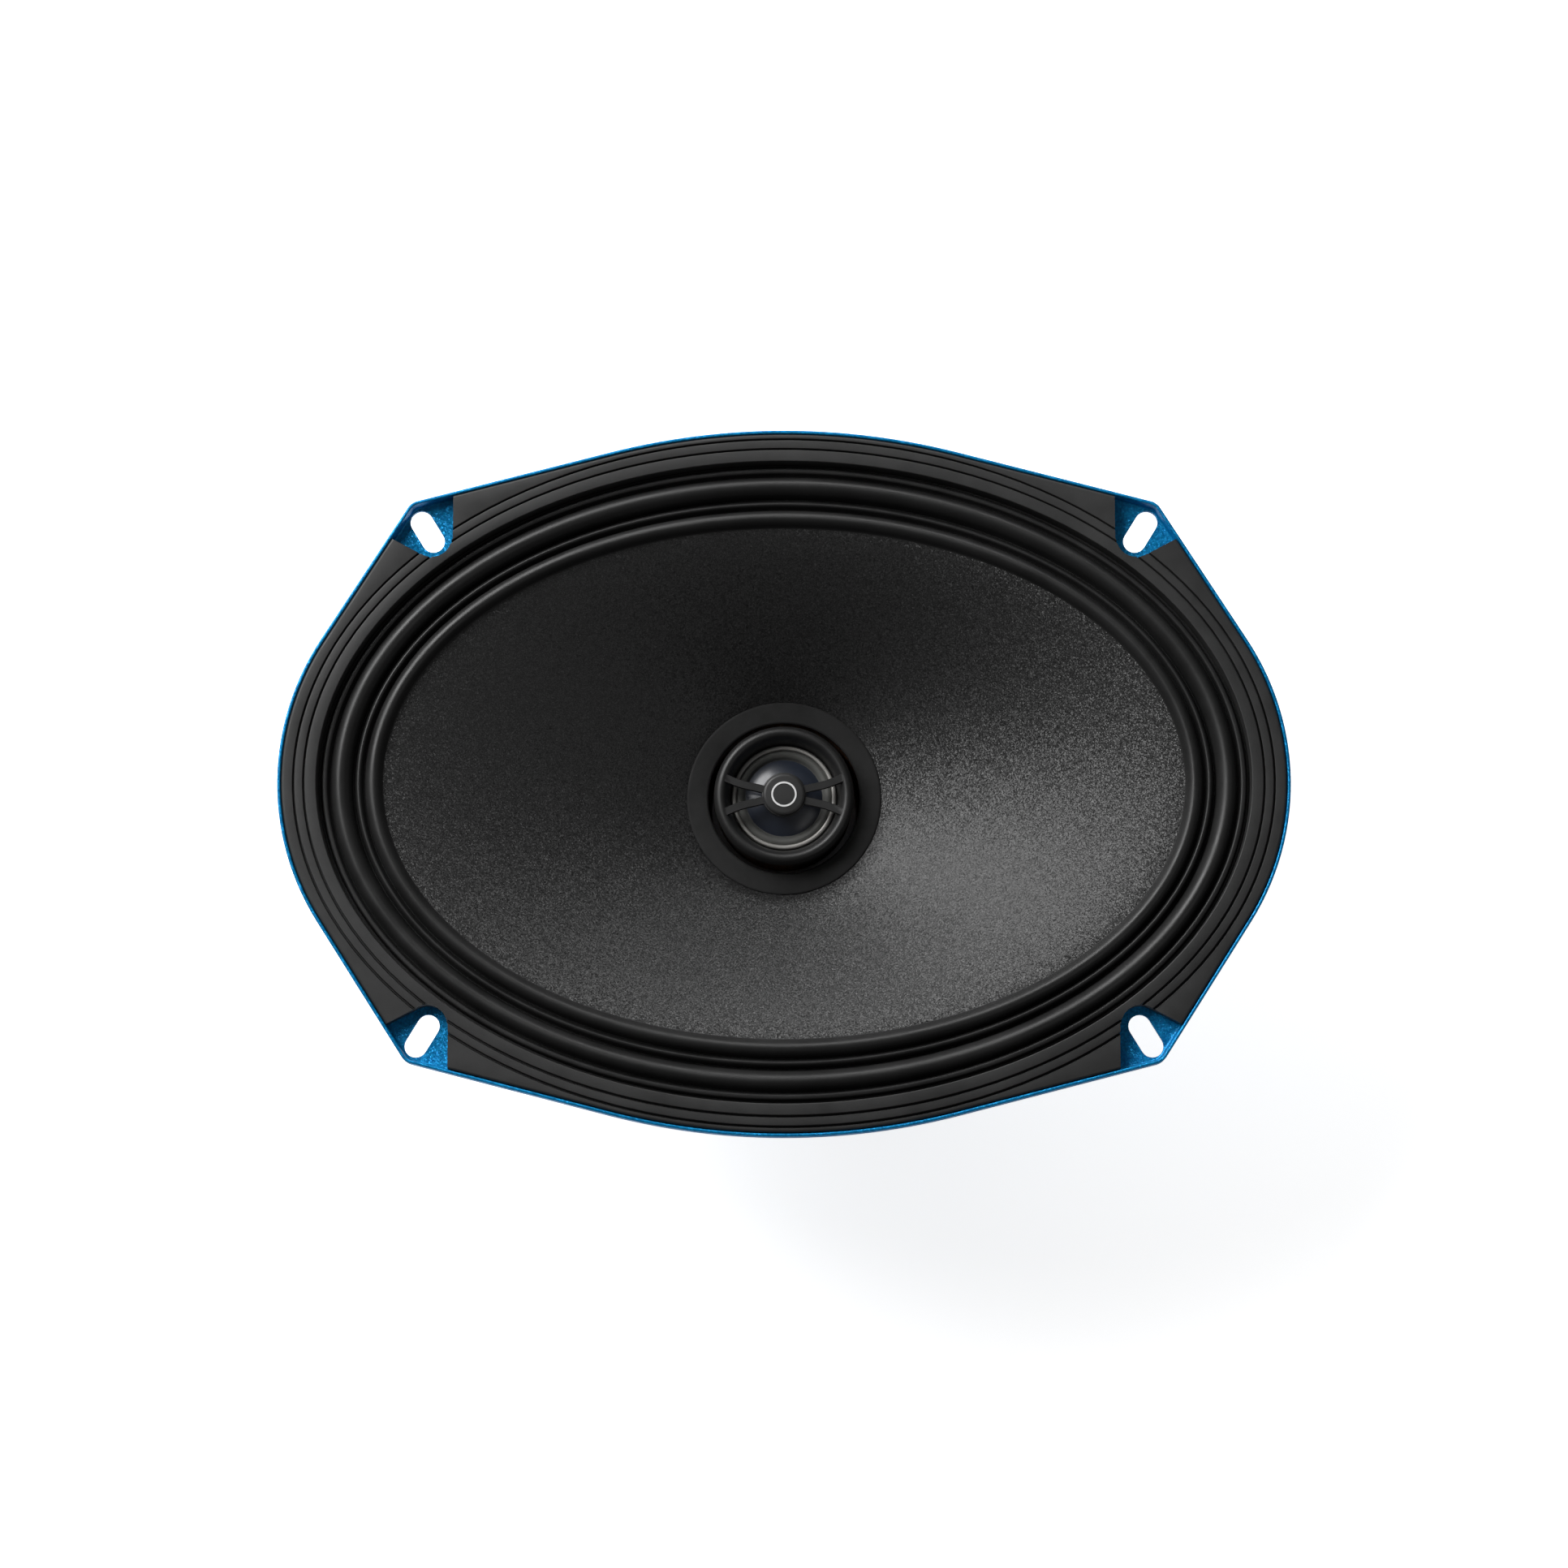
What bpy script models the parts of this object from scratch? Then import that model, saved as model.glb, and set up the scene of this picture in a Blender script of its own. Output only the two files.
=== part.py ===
"""A 6 x 9 inch coaxial car speaker, lying on its magnet with the cone facing up.

The world frame has +Z along the sound axis, +X along the long side and +Y across it, and its origin is
the middle of the magnet's back face. Each shape is drawn about the middle of the mounting plane, the rear
face of the frame's flange, and its object then stands FLANGE_HEIGHT above the origin. Lengths are written
in millimetres times MM, because Blender works in metres.

Oval shapes come from one family of ellipses: oval_loop(d, z) has the cone rim's half axes plus d.
"""

from math import atan2, cos, hypot, pi, radians, sin, sqrt

import bmesh
import bpy
from mathutils import Matrix, Vector

MM = 0.001
GAP = 0.3 * MM
FLANGE_HEIGHT = 80.0 * MM

# Frame outline, seen from the front: two arcs, joined by straight sides that meet at a rounded corner.
HALF_LENGTH = 117.5 * MM
HALF_WIDTH = 82.75 * MM
SIDE_ARC_R = 61.5 * MM
SIDE_ARC_ANGLE = radians(32.5)
END_ARC_R = 162.0 * MM
END_ARC_ANGLE = radians(14.5)
CORNER_R = 3.8 * MM
SIDE_ARC_STEPS = 3
SIDE_LINE_STEPS = 3
CORNER_STEPS = 3
END_LINE_STEPS = 3
END_ARC_STEPS = 3

# Cone rim, the ellipse that every other oval is offset from.
RIM_A = 93.4 * MM
RIM_B = 60.2 * MM
OVAL_STEPS = 48

# Heights above the mounting plane.
SHEET = 1.2 * MM
LIP_TOP = 5.0 * MM
LIP_THICKNESS = 0.75 * MM
GASKET_TOP = 6.0 * MM
GASKET_STEP = 0.4 * MM
GROOVE_DEPTH = 0.9 * MM
GROOVE_WIDTH = 0.5 * MM
RIM_Z = 1.8 * MM

# Oval offsets of the gasket's inner edge and of its two grooves.
GASKET_INNER = 15.0 * MM
GROOVE_OFFSETS = (17.9 * MM, 20.3 * MM)
GASKET_INSET = 1.3 * MM

# Mounting slots in the four corners.
SLOT_X = 83.5 * MM
SLOT_Y = 59.25 * MM
SLOT_WIDTH = 5.3 * MM
SLOT_LENGTH = 10.7 * MM
SLOT_ANGLE = radians(58.5)
POCKET_WALL = 1.9 * MM
POCKET_SIDE_X = 77.3 * MM

# Basket walls.
BAND_OFFSET = 8.5 * MM
BAND_Z = -14.0 * MM
CUP_R = 47.0 * MM
SHELF_Z = -39.5 * MM
SHELF_INNER_R = 40.5 * MM
FLOOR_Z = -49.7 * MM
FLOOR_HOLE_R = 24.0 * MM
WINDOWS = ((0, 20), (52, 16), (128, 16), (180, 20), (232, 16), (308, 16))
WINDOW_LOW = -36.0 * MM
WINDOW_HIGH = -17.0 * MM
WINDOW_CORNER = 3.0 * MM

# Magnet and steel, from the back.
BACK_Z = -FLANGE_HEIGHT
PLATE_THICKNESS = 6.0 * MM
PLATE_R = 47.5 * MM
MAGNET_R = 50.0 * MM
MAGNET_BORE_R = 26.0 * MM
FRONT_PLATE_TOP = -51.2 * MM
FRONT_PLATE_BOTTOM = -57.0 * MM
POLE_R = 18.2 * MM
POLE_TOP = -47.0 * MM
POLE_BORE_R = 4.2 * MM
GAP_BORE_R = 21.0 * MM
WIRE_GROOVE_WIDTH = 5.0 * MM
WIRE_GROOVE_DEPTH = 2.6 * MM
PLATE_SCREW_RING_R = 32.0 * MM
PLATE_SCREW_ANGLES = (45, 135, 225, 315)
PLATE_SCREW_HOLE_DEPTH = 4.5 * MM
SCREW_R = 2.0 * MM

# Voice coil, spider and dust ring.
FORMER_INNER_R = 19.05 * MM
FORMER_OUTER_R = 19.4 * MM
FORMER_TOP = -29.5 * MM
FORMER_BOTTOM = -61.5 * MM
COIL_INNER_R = 19.7 * MM
COIL_OUTER_R = 20.3 * MM
COIL_TOP = -48.1 * MM
COIL_BOTTOM = -60.1 * MM
SPIDER_OUTER_R = 45.2 * MM
DUST_RING_R = 23.1 * MM
DUST_RING_HOLE_R = 18.0 * MM
DUST_RING_TOP = -25.0 * MM
DUST_RING_THICKNESS = 1.0 * MM
CONE_THICKNESS = 0.7 * MM

# Tweeter, which stands on the pole piece inside the voice coil.
BEZEL_TOP = -19.0 * MM
BEZEL_R = 16.6 * MM
HOUSING_R = 16.3 * MM
HOUSING_WALL = 1.3 * MM
HOUSING_TOP = -21.1 * MM
HOUSING_BOTTOM = -38.5 * MM
WIRE_BORE_R = 2.4 * MM
HUB_R = 5.8 * MM
ARM_TOP = -19.2 * MM
ARM_THICKNESS = 1.2 * MM
ARM_WIDTH = 1.8 * MM
BADGE_R = 5.4 * MM
DOME_R = 9.2 * MM
DOME_EDGE_Z = -25.2 * MM
DOME_APEX_Z = -21.7 * MM

# Terminal board, on the sloping wall between two windows on the -Y side.
BOARD_SIZE = (34 * MM, 24 * MM, 2.0 * MM)
TAB_X = 10.0 * MM
EYELET_DROP = 4.0 * MM
TAB_THICKNESS = 0.8 * MM
POSITIVE_TAB_WIDTH = 6.3 * MM
NEGATIVE_TAB_WIDTH = 4.75 * MM
WIRE_R = 0.7 * MM
LEAD_R = 0.6 * MM
WIRE_X = 1.2 * MM

ROUND_STEPS = 32
SMALL_STEPS = 20
CUT_MARGIN = 1.0 * MM

COLOURS = {
    "blue_paint": ((0.0, 0.16, 0.42), 0.38, 0.35),
    "black_plastic": ((0.030, 0.030, 0.031), 0.55, 0.0),
    "rubber": ((0.022, 0.022, 0.022), 0.45, 0.0),
    "cone_plastic": ((0.045, 0.045, 0.046), 0.42, 0.0),
    "matt_black": ((0.014, 0.014, 0.015), 0.8, 0.0),
    "ferrite": ((0.055, 0.055, 0.058), 0.6, 0.1),
    "zinc_steel": ((0.62, 0.63, 0.62), 0.3, 1.0),
    "copper": ((0.72, 0.33, 0.16), 0.35, 1.0),
    "amber_film": ((0.45, 0.18, 0.03), 0.35, 0.0),
    "spider_cloth": ((0.55, 0.36, 0.13), 0.9, 0.0),
    "phenolic_board": ((0.10, 0.045, 0.02), 0.5, 0.0),
    "brass": ((0.75, 0.56, 0.26), 0.3, 1.0),
    "dome_film": ((0.025, 0.032, 0.055), 0.22, 0.0),
    "satin_trim": ((0.42, 0.41, 0.39), 0.3, 1.0),
    "capacitor_sleeve": ((0.02, 0.05, 0.20), 0.4, 0.0),
    "red_wire": ((0.42, 0.02, 0.02), 0.45, 0.0),
    "black_wire": ((0.02, 0.02, 0.02), 0.45, 0.0),
}


# ---------------------------------------------------------------- scene and mesh helpers


def clear_scene():
    for obj in list(bpy.data.objects):
        bpy.data.objects.remove(obj)


def material(name):
    found = bpy.data.materials.get(name)
    if found:
        return found
    colour, roughness, metallic = COLOURS[name]
    made = bpy.data.materials.new(name)
    made.use_nodes = True
    shader = made.node_tree.nodes["Principled BSDF"]
    shader.inputs["Base Color"].default_value = (*colour, 1)
    shader.inputs["Roughness"].default_value = roughness
    shader.inputs["Metallic"].default_value = metallic
    return made


def place(obj, parent=None):
    """Stands an object at the mounting plane, or leaves it at its parent, which already stands there."""
    if parent:
        obj.parent = parent
    else:
        obj.location.z = FLANGE_HEIGHT


def add_object(name, bm, finish, parent=None):
    """Makes the object from a bmesh, with its faces pointing out and its round faces smooth."""
    bmesh.ops.remove_doubles(bm, verts=bm.verts, dist=1e-7)
    bmesh.ops.recalc_face_normals(bm, faces=bm.faces)
    mesh = bpy.data.meshes.new(name)
    bm.to_mesh(mesh)
    bm.free()
    mesh.shade_smooth()
    mesh.set_sharp_from_angle(angle=radians(30))
    obj = bpy.data.objects.new(name, mesh)
    bpy.context.scene.collection.objects.link(obj)
    if finish:
        mesh.materials.append(material(finish))
    place(obj, parent)
    return obj


def add_empty(name):
    obj = bpy.data.objects.new(name, None)
    bpy.context.scene.collection.objects.link(obj)
    place(obj)
    return obj


def boolean(obj, cutter, operation="DIFFERENCE"):
    modifier = obj.modifiers.new(operation.lower(), "BOOLEAN")
    modifier.operation = operation
    modifier.object = cutter
    cutter.hide_render = True
    cutter.display_type = "WIRE"


def skin_loops(loops, closed_section=True):
    """Joins loops of equal length with faces, and caps the ends unless they run round a ring's section."""
    bm = bmesh.new()
    rows = [[bm.verts.new(point) for point in loop] for loop in loops]
    pairs = list(zip(rows, rows[1:]))
    if closed_section:
        pairs.append((rows[-1], rows[0]))
    count = len(loops[0])
    for first, second in pairs:
        for i in range(count):
            j = (i + 1) % count
            bm.faces.new((first[i], first[j], second[j], second[i]))
    if not closed_section:
        bm.faces.new(rows[0])
        bm.faces.new(reversed(rows[-1]))
    return bm


def lathe(profile, steps, axis_point=(0, 0, 0)):
    """Spins a closed (radius, height) outline once round +Z. Points on the axis have radius 0."""
    bm = bmesh.new()
    verts = [bm.verts.new((r, 0, z)) for r, z in profile]
    edges = [bm.edges.new(pair) for pair in zip(verts, verts[1:])]
    if profile[0][0] > 0 or profile[-1][0] > 0:
        edges.append(bm.edges.new((verts[-1], verts[0])))
    bmesh.ops.spin(
        bm,
        geom=verts + edges,
        cent=(0, 0, 0),
        axis=(0, 0, 1),
        angle=2 * pi,
        steps=steps,
        use_merge=True,
    )
    bmesh.ops.remove_doubles(bm, verts=bm.verts, dist=1e-7)
    bmesh.ops.translate(bm, verts=bm.verts, vec=axis_point)
    return bm


def prism(outline, low, high):
    """A flat (x, y) outline pulled up from low to high."""
    return skin_loops([[(x, y, z) for x, y in outline] for z in (low, high)], closed_section=False)


def box(size, matrix=None):
    bm = bmesh.new()
    bmesh.ops.create_cube(bm, size=1.0)
    bmesh.ops.scale(bm, vec=size, verts=bm.verts)
    bmesh.ops.transform(bm, matrix=matrix or Matrix.Identity(4), verts=bm.verts)
    return bm


def arc(centre, radius, start, end, steps):
    """Points along an arc, both ends included."""
    angles = [start + (end - start) * i / steps for i in range(steps + 1)]
    return [(centre[0] + radius * cos(a), centre[1] + radius * sin(a)) for a in angles]


def between(first, last, steps):
    """The points that split a straight line into equal steps, without its ends."""
    return [
        (first[0] + (last[0] - first[0]) * i / steps, first[1] + (last[1] - first[1]) * i / steps)
        for i in range(1, steps)
    ]


# ---------------------------------------------------------------- outlines


def quarter_outline(inset):
    """The frame's outline from +X round to +Y, moved inwards by inset."""
    side_centre = (HALF_LENGTH - SIDE_ARC_R, 0)
    end_centre = (0, HALF_WIDTH - END_ARC_R)
    side_normal = (cos(SIDE_ARC_ANGLE), sin(SIDE_ARC_ANGLE))
    end_normal = (sin(END_ARC_ANGLE), cos(END_ARC_ANGLE))
    corner_r = CORNER_R - inset
    side_reach = side_centre[0] * side_normal[0] + SIDE_ARC_R - inset - corner_r
    end_reach = end_centre[1] * end_normal[1] + END_ARC_R - inset - corner_r
    across = side_normal[0] * end_normal[1] - side_normal[1] * end_normal[0]
    corner_centre = (
        (side_reach * end_normal[1] - side_normal[1] * end_reach) / across,
        (side_normal[0] * end_reach - side_reach * end_normal[0]) / across,
    )
    side = arc(side_centre, SIDE_ARC_R - inset, 0, SIDE_ARC_ANGLE, SIDE_ARC_STEPS)
    corner = arc(corner_centre, corner_r, SIDE_ARC_ANGLE, pi / 2 - END_ARC_ANGLE, CORNER_STEPS)
    end = arc(end_centre, END_ARC_R - inset, pi / 2 - END_ARC_ANGLE, pi / 2, END_ARC_STEPS)
    side_line = between(side[-1], corner[0], SIDE_LINE_STEPS)
    end_line = between(corner[-1], end[0], END_LINE_STEPS)
    return side + side_line + corner + end_line + end


def outline(inset):
    """The whole outline, anticlockwise from +X."""
    quarter = quarter_outline(inset)
    half = quarter + [(-x, y) for x, y in reversed(quarter[:-1])]
    return half + [(-x, -y) for x, y in half[1:-1]]


FRAME_ANGLES = [atan2(y / HALF_WIDTH, x / HALF_LENGTH) for x, y in outline(0)]
OVAL_ANGLES = [2 * pi * i / OVAL_STEPS for i in range(OVAL_STEPS)]


def outline_loop(inset, z):
    return [(x, y, z) for x, y in outline(inset)]


def ellipse_loop(half_x, half_y, z, angles):
    return [(half_x * cos(t), half_y * sin(t), z) for t in angles]


def oval_loop(offset, z, angles=FRAME_ANGLES):
    return ellipse_loop(RIM_A + offset, RIM_B + offset, z, angles)


def circle_loop(radius, z, angles=FRAME_ANGLES):
    return ellipse_loop(radius, radius, z, angles)


def slot_outline(width, length, centre, angle, steps=5):
    """A slot with round ends, along the given angle."""
    reach = (length - width) / 2
    ends = []
    for sign in (1, -1):
        middle = (
            centre[0] + sign * reach * cos(angle),
            centre[1] + sign * reach * sin(angle),
        )
        start = angle - pi / 2 if sign > 0 else angle + pi / 2
        ends += arc(middle, width / 2, start, start + pi, steps)
    return ends


def corner_signs():
    return [(1, 1), (-1, 1), (-1, -1), (1, -1)]


# ---------------------------------------------------------------- basket and gasket


def wall_line():
    """The outer wall at x = 0 on the -Y side: two points, and the unit vectors up along it and out of it."""
    low = Vector((0, -(CUP_R + 1.6 * MM), SHELF_Z - 0.1 * MM))
    high = Vector((0, -(RIM_B + BAND_OFFSET + 1.3 * MM), BAND_Z - 0.5 * MM))
    up = (high - low).normalized()
    return low, high, up, Vector((1, 0, 0)).cross(up)


def board_matrix():
    """Local X along the row's X, Y up the sloping wall and Z out of it, from the middle of the wall."""
    low, high, up, out = wall_line()
    middle = (low + high) / 2
    rows = Matrix((Vector((1, 0, 0)), up, out)).transposed()
    return Matrix.Translation(middle) @ rows.to_4x4()


def window_cutter(azimuth, half_angle, low, high, corner):
    """A rounded window in (angle, height), pulled through the wall from inside to outside."""
    middle_r = 70 * MM
    half = radians(half_angle)
    corner_angle = corner / middle_r
    outline_points = []
    for sign_a, sign_z, start in ((1, 1, 0), (-1, 1, 90), (-1, -1, 180), (1, -1, 270)):
        angle = sign_a * (half - corner_angle)
        height = (high if sign_z > 0 else low) - sign_z * corner
        for step in range(3):
            turn = radians(start + 45 * step)
            outline_points.append((angle + corner_angle * cos(turn), height + corner * sin(turn)))
    loops = []
    for radius in (30 * MM, 130 * MM):
        loops.append(
            [
                (radius * cos(radians(azimuth) + a), radius * sin(radians(azimuth) + a), z)
                for a, z in outline_points
            ]
        )
    return skin_loops(loops, closed_section=False)


def slot_cutters():
    cutters = []
    for sx, sy in corner_signs():
        angle = SLOT_ANGLE if sx * sy > 0 else pi - SLOT_ANGLE
        points = slot_outline(SLOT_WIDTH, SLOT_LENGTH, (sx * SLOT_X, sy * SLOT_Y), angle)
        bm = prism(points, -CUT_MARGIN, SHEET + CUT_MARGIN)
        cutters.append(add_object(f"slot_cutter_{len(cutters)}", bm, None))
    return cutters


def make_basket():
    loops = [
        outline_loop(0, LIP_TOP),
        outline_loop(LIP_THICKNESS, LIP_TOP),
        outline_loop(LIP_THICKNESS + 0.2 * MM, SHEET),
        oval_loop(11.6 * MM, SHEET),
        oval_loop(10.4 * MM, 0.2 * MM),
        oval_loop(BAND_OFFSET, BAND_Z),
        circle_loop(CUP_R, SHELF_Z + 1.5 * MM),
        circle_loop(CUP_R - 0.8 * MM, SHELF_Z),
        circle_loop(SHELF_INNER_R, SHELF_Z),
        circle_loop(SHELF_INNER_R - 0.6 * MM, FLOOR_Z),
        circle_loop(FLOOR_HOLE_R, FLOOR_Z),
        circle_loop(FLOOR_HOLE_R, FLOOR_Z - SHEET),
        circle_loop(SHELF_INNER_R + 0.8 * MM, FLOOR_Z - SHEET),
        circle_loop(SHELF_INNER_R + 1.3 * MM, SHELF_Z - SHEET),
        circle_loop(CUP_R + 0.6 * MM, SHELF_Z - SHEET),
        circle_loop(CUP_R + 1.6 * MM, SHELF_Z - 0.1 * MM),
        oval_loop(BAND_OFFSET + 1.3 * MM, BAND_Z - 0.5 * MM),
        oval_loop(11.6 * MM, -1.4 * MM),
        oval_loop(12.8 * MM, 0),
        outline_loop(0, 0),
    ]
    basket = add_object("basket", skin_loops(loops), "blue_paint")
    for cutter in slot_cutters():
        boolean(basket, cutter)
    for azimuth, half_angle in WINDOWS:
        bm = window_cutter(azimuth, half_angle, WINDOW_LOW, WINDOW_HIGH, WINDOW_CORNER)
        boolean(basket, add_object(f"window_cutter_{azimuth}", bm, None))
    for index, bm in enumerate(plate_screw_holes(FLOOR_Z - 3 * SHEET, FLOOR_Z + CUT_MARGIN)):
        boolean(basket, add_object(f"floor_hole_cutter_{index}", bm, None))
    for name, x, y, radius in (
        ("rivet", 0, 0, 1.9 * MM),
        ("eyelet_p", TAB_X, -EYELET_DROP, 3.4 * MM),
        ("eyelet_n", -TAB_X, -EYELET_DROP, 3.4 * MM),
    ):
        bm = lathe([(0, -8 * MM), (radius, -8 * MM), (radius, 8 * MM), (0, 8 * MM)], 16)
        bmesh.ops.transform(bm, matrix=board_matrix() @ Matrix.Translation((x, y, 0)), verts=bm.verts)
        boolean(basket, add_object(f"wall_hole_cutter_{name}", bm, None))
    return basket


def pocket_outline():
    """The gasket's corner opening in the first quadrant: past the corner, round the slot's inner end."""
    reach = (SLOT_LENGTH - SLOT_WIDTH) / 2
    inner_end = (SLOT_X - reach * cos(SLOT_ANGLE), SLOT_Y - reach * sin(SLOT_ANGLE))
    radius = SLOT_WIDTH / 2 + POCKET_WALL
    low_normal = radians(-62)
    rounded = arc(inner_end, radius, pi, 2 * pi + low_normal, 6)
    far = HALF_LENGTH
    start = (POCKET_SIDE_X, HALF_WIDTH + CUT_MARGIN)
    turn = (POCKET_SIDE_X, rounded[0][1])
    along = (-sin(low_normal), cos(low_normal))
    last = rounded[-1]
    run = (far - last[0]) / along[0]
    finish = (far, last[1] + run * along[1])
    return [start, turn] + rounded[1:] + [finish, (far, HALF_WIDTH + CUT_MARGIN)]


def make_gasket():
    """A stepped rubber ring that fills the tray from the lip to the surround's ledge."""
    bottom = SHEET + GAP
    tops = [GASKET_TOP - 2 * GASKET_STEP, GASKET_TOP - GASKET_STEP, GASKET_TOP]
    loops = [outline_loop(GASKET_INSET, bottom), outline_loop(GASKET_INSET, tops[0] - 0.3 * MM)]
    loops.append(outline_loop(GASKET_INSET + 0.3 * MM, tops[0]))
    for groove, outer_top, inner_top in zip(reversed(GROOVE_OFFSETS), tops, tops[1:]):
        loops += [
            oval_loop(groove + GROOVE_WIDTH / 2, outer_top),
            oval_loop(groove, outer_top - GROOVE_DEPTH),
            oval_loop(groove - GROOVE_WIDTH / 2, inner_top),
        ]
    loops += [
        oval_loop(GASKET_INNER + 0.5 * MM, GASKET_TOP),
        oval_loop(GASKET_INNER, GASKET_TOP - 0.5 * MM),
        oval_loop(GASKET_INNER, bottom),
    ]
    gasket = add_object("front_gasket", skin_loops(loops), "black_plastic")
    for index, (sx, sy) in enumerate(corner_signs()):
        points = [(sx * x, sy * y) for x, y in pocket_outline()]
        bm = prism(points, 0, GASKET_TOP + CUT_MARGIN)
        boolean(gasket, add_object(f"pocket_cutter_{index}", bm, None))


# ---------------------------------------------------------------- cone, surround, spider, voice coil


def cone_height(share):
    """Height of the cone's front at a share of the way from the dust ring to the rim."""
    start = DUST_RING_TOP - 0.4 * MM
    return start + (RIM_Z - start) * (1 - (1 - share) ** 1.25)


def cone_loop(share, drop):
    half_x = DUST_RING_R + (RIM_A - 0.3 * MM - DUST_RING_R) * share
    half_y = DUST_RING_R + (RIM_B - 0.3 * MM - DUST_RING_R) * share
    return ellipse_loop(half_x, half_y, cone_height(share) - drop, OVAL_ANGLES)


def make_cone(parent):
    """An oval cone with a round step that carries the dust ring, and a collar round the former."""
    shares = (1.0, 0.78, 0.52, 0.26, 0.015)
    seat_z = DUST_RING_TOP - DUST_RING_THICKNESS - GAP
    loops = [cone_loop(share, 0) for share in shares]
    neck_r = FORMER_OUTER_R + GAP
    loops += [
        circle_loop(DUST_RING_R + 0.3 * MM, seat_z, OVAL_ANGLES),
        circle_loop(neck_r + 1.2 * MM, seat_z - 0.4 * MM, OVAL_ANGLES),
        circle_loop(neck_r, seat_z - 2.6 * MM, OVAL_ANGLES),
        circle_loop(neck_r, seat_z - 5.2 * MM, OVAL_ANGLES),
        circle_loop(neck_r + 0.7 * MM, seat_z - 5.2 * MM, OVAL_ANGLES),
        circle_loop(neck_r + 1.9 * MM, seat_z - 2.4 * MM, OVAL_ANGLES),
    ]
    loops += [cone_loop(share, CONE_THICKNESS) for share in (0.06, 0.26, 0.52, 0.78, 1.0)]
    add_object("cone", skin_loops(loops), "cone_plastic", parent)


def make_surround():
    """A flat ledge and a double roll of rubber with a rib between the rolls, ending on the cone's rim."""
    top = [
        (14.6, 2.0),
        (13.9, 3.2),
        (12.7, 3.2),
        (12.1, 2.0),
        (11.1, 4.1),
        (9.6, 5.2),
        (8.1, 4.3),
        (6.9, 0.5),
        (5.8, 2.7),
        (5.0, 2.7),
        (4.2, 0.9),
        (3.3, 3.6),
        (2.1, 4.4),
        (0.9, 3.8),
        (0.2, 0.5),
        (-2.6, -0.6),
    ]
    bottom = [
        (-2.6, -1.2),
        (0.6, -0.4),
        (2.1, 3.5),
        (4.2, -0.9),
        (7.0, -0.9),
        (9.5, 4.2),
        (11.6, 1.6),
        (14.6, 1.6),
    ]
    loops = [oval_loop(d * MM, z * MM, OVAL_ANGLES) for d, z in top + bottom]
    add_object("surround", skin_loops(loops), "rubber")


def make_spider():
    """A corrugated cloth disc that centres the voice coil."""
    inner, outer = FORMER_OUTER_R + GAP, SPIDER_OUTER_R
    folds, height, thickness = 7, 1.1 * MM, 0.5 * MM
    base = SHELF_Z + GAP + thickness
    flat = 4.5 * MM
    top = [(outer, base), (outer - flat, base)]
    for fold in range(folds + 1):
        radius = outer - flat - 1 * MM - fold / folds * (outer - flat - inner - 2.2 * MM)
        top.append((radius, base + 1.4 * MM + height * (-1) ** fold))
    top.append((inner, base + 1.4 * MM))
    profile = top + [(r, z - thickness) for r, z in reversed(top)]
    add_object("spider", lathe(profile, ROUND_STEPS), "spider_cloth")


def make_voice_coil(parent):
    tube = [
        (FORMER_INNER_R, FORMER_BOTTOM),
        (FORMER_OUTER_R, FORMER_BOTTOM),
        (FORMER_OUTER_R, FORMER_TOP),
        (FORMER_INNER_R, FORMER_TOP),
    ]
    add_object("voice_coil_former", lathe(tube, ROUND_STEPS), "amber_film", parent)
    winding = [
        (COIL_INNER_R, COIL_BOTTOM),
        (COIL_OUTER_R, COIL_BOTTOM),
        (COIL_OUTER_R, COIL_TOP),
        (COIL_INNER_R, COIL_TOP),
    ]
    add_object("voice_coil_winding", lathe(winding, ROUND_STEPS), "copper", parent)


def make_dust_ring(parent):
    low = DUST_RING_TOP - DUST_RING_THICKNESS
    profile = [
        (DUST_RING_HOLE_R, low),
        (DUST_RING_R, low),
        (DUST_RING_R, DUST_RING_TOP - 0.3 * MM),
        (DUST_RING_R - 0.3 * MM, DUST_RING_TOP),
        (DUST_RING_HOLE_R + 0.3 * MM, DUST_RING_TOP),
        (DUST_RING_HOLE_R, DUST_RING_TOP - 0.3 * MM),
    ]
    add_object("dust_ring", lathe(profile, ROUND_STEPS), "matt_black", parent)


# ---------------------------------------------------------------- magnet system


def plate_screw_holes(low, high):
    """Four clearance cylinders for the screws that hold the front plate to the basket's floor."""
    radius = SCREW_R + GAP
    holes = []
    for angle in PLATE_SCREW_ANGLES:
        at = (PLATE_SCREW_RING_R * cos(radians(angle)), PLATE_SCREW_RING_R * sin(radians(angle)), 0)
        holes.append(lathe([(0, low), (radius, low), (radius, high), (0, high)], 12, at))
    return holes


def make_front_plate():
    chamfer = 0.8 * MM
    profile = [
        (GAP_BORE_R, FRONT_PLATE_BOTTOM),
        (PLATE_R, FRONT_PLATE_BOTTOM),
        (PLATE_R, FRONT_PLATE_TOP - chamfer),
        (PLATE_R - chamfer, FRONT_PLATE_TOP),
        (GAP_BORE_R, FRONT_PLATE_TOP),
    ]
    plate = add_object("front_plate", lathe(profile, ROUND_STEPS), "zinc_steel")
    holes = plate_screw_holes(FRONT_PLATE_TOP - PLATE_SCREW_HOLE_DEPTH, FRONT_PLATE_TOP + CUT_MARGIN)
    for index, bm in enumerate(holes):
        boolean(plate, add_object(f"plate_hole_cutter_{index}", bm, None))


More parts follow.
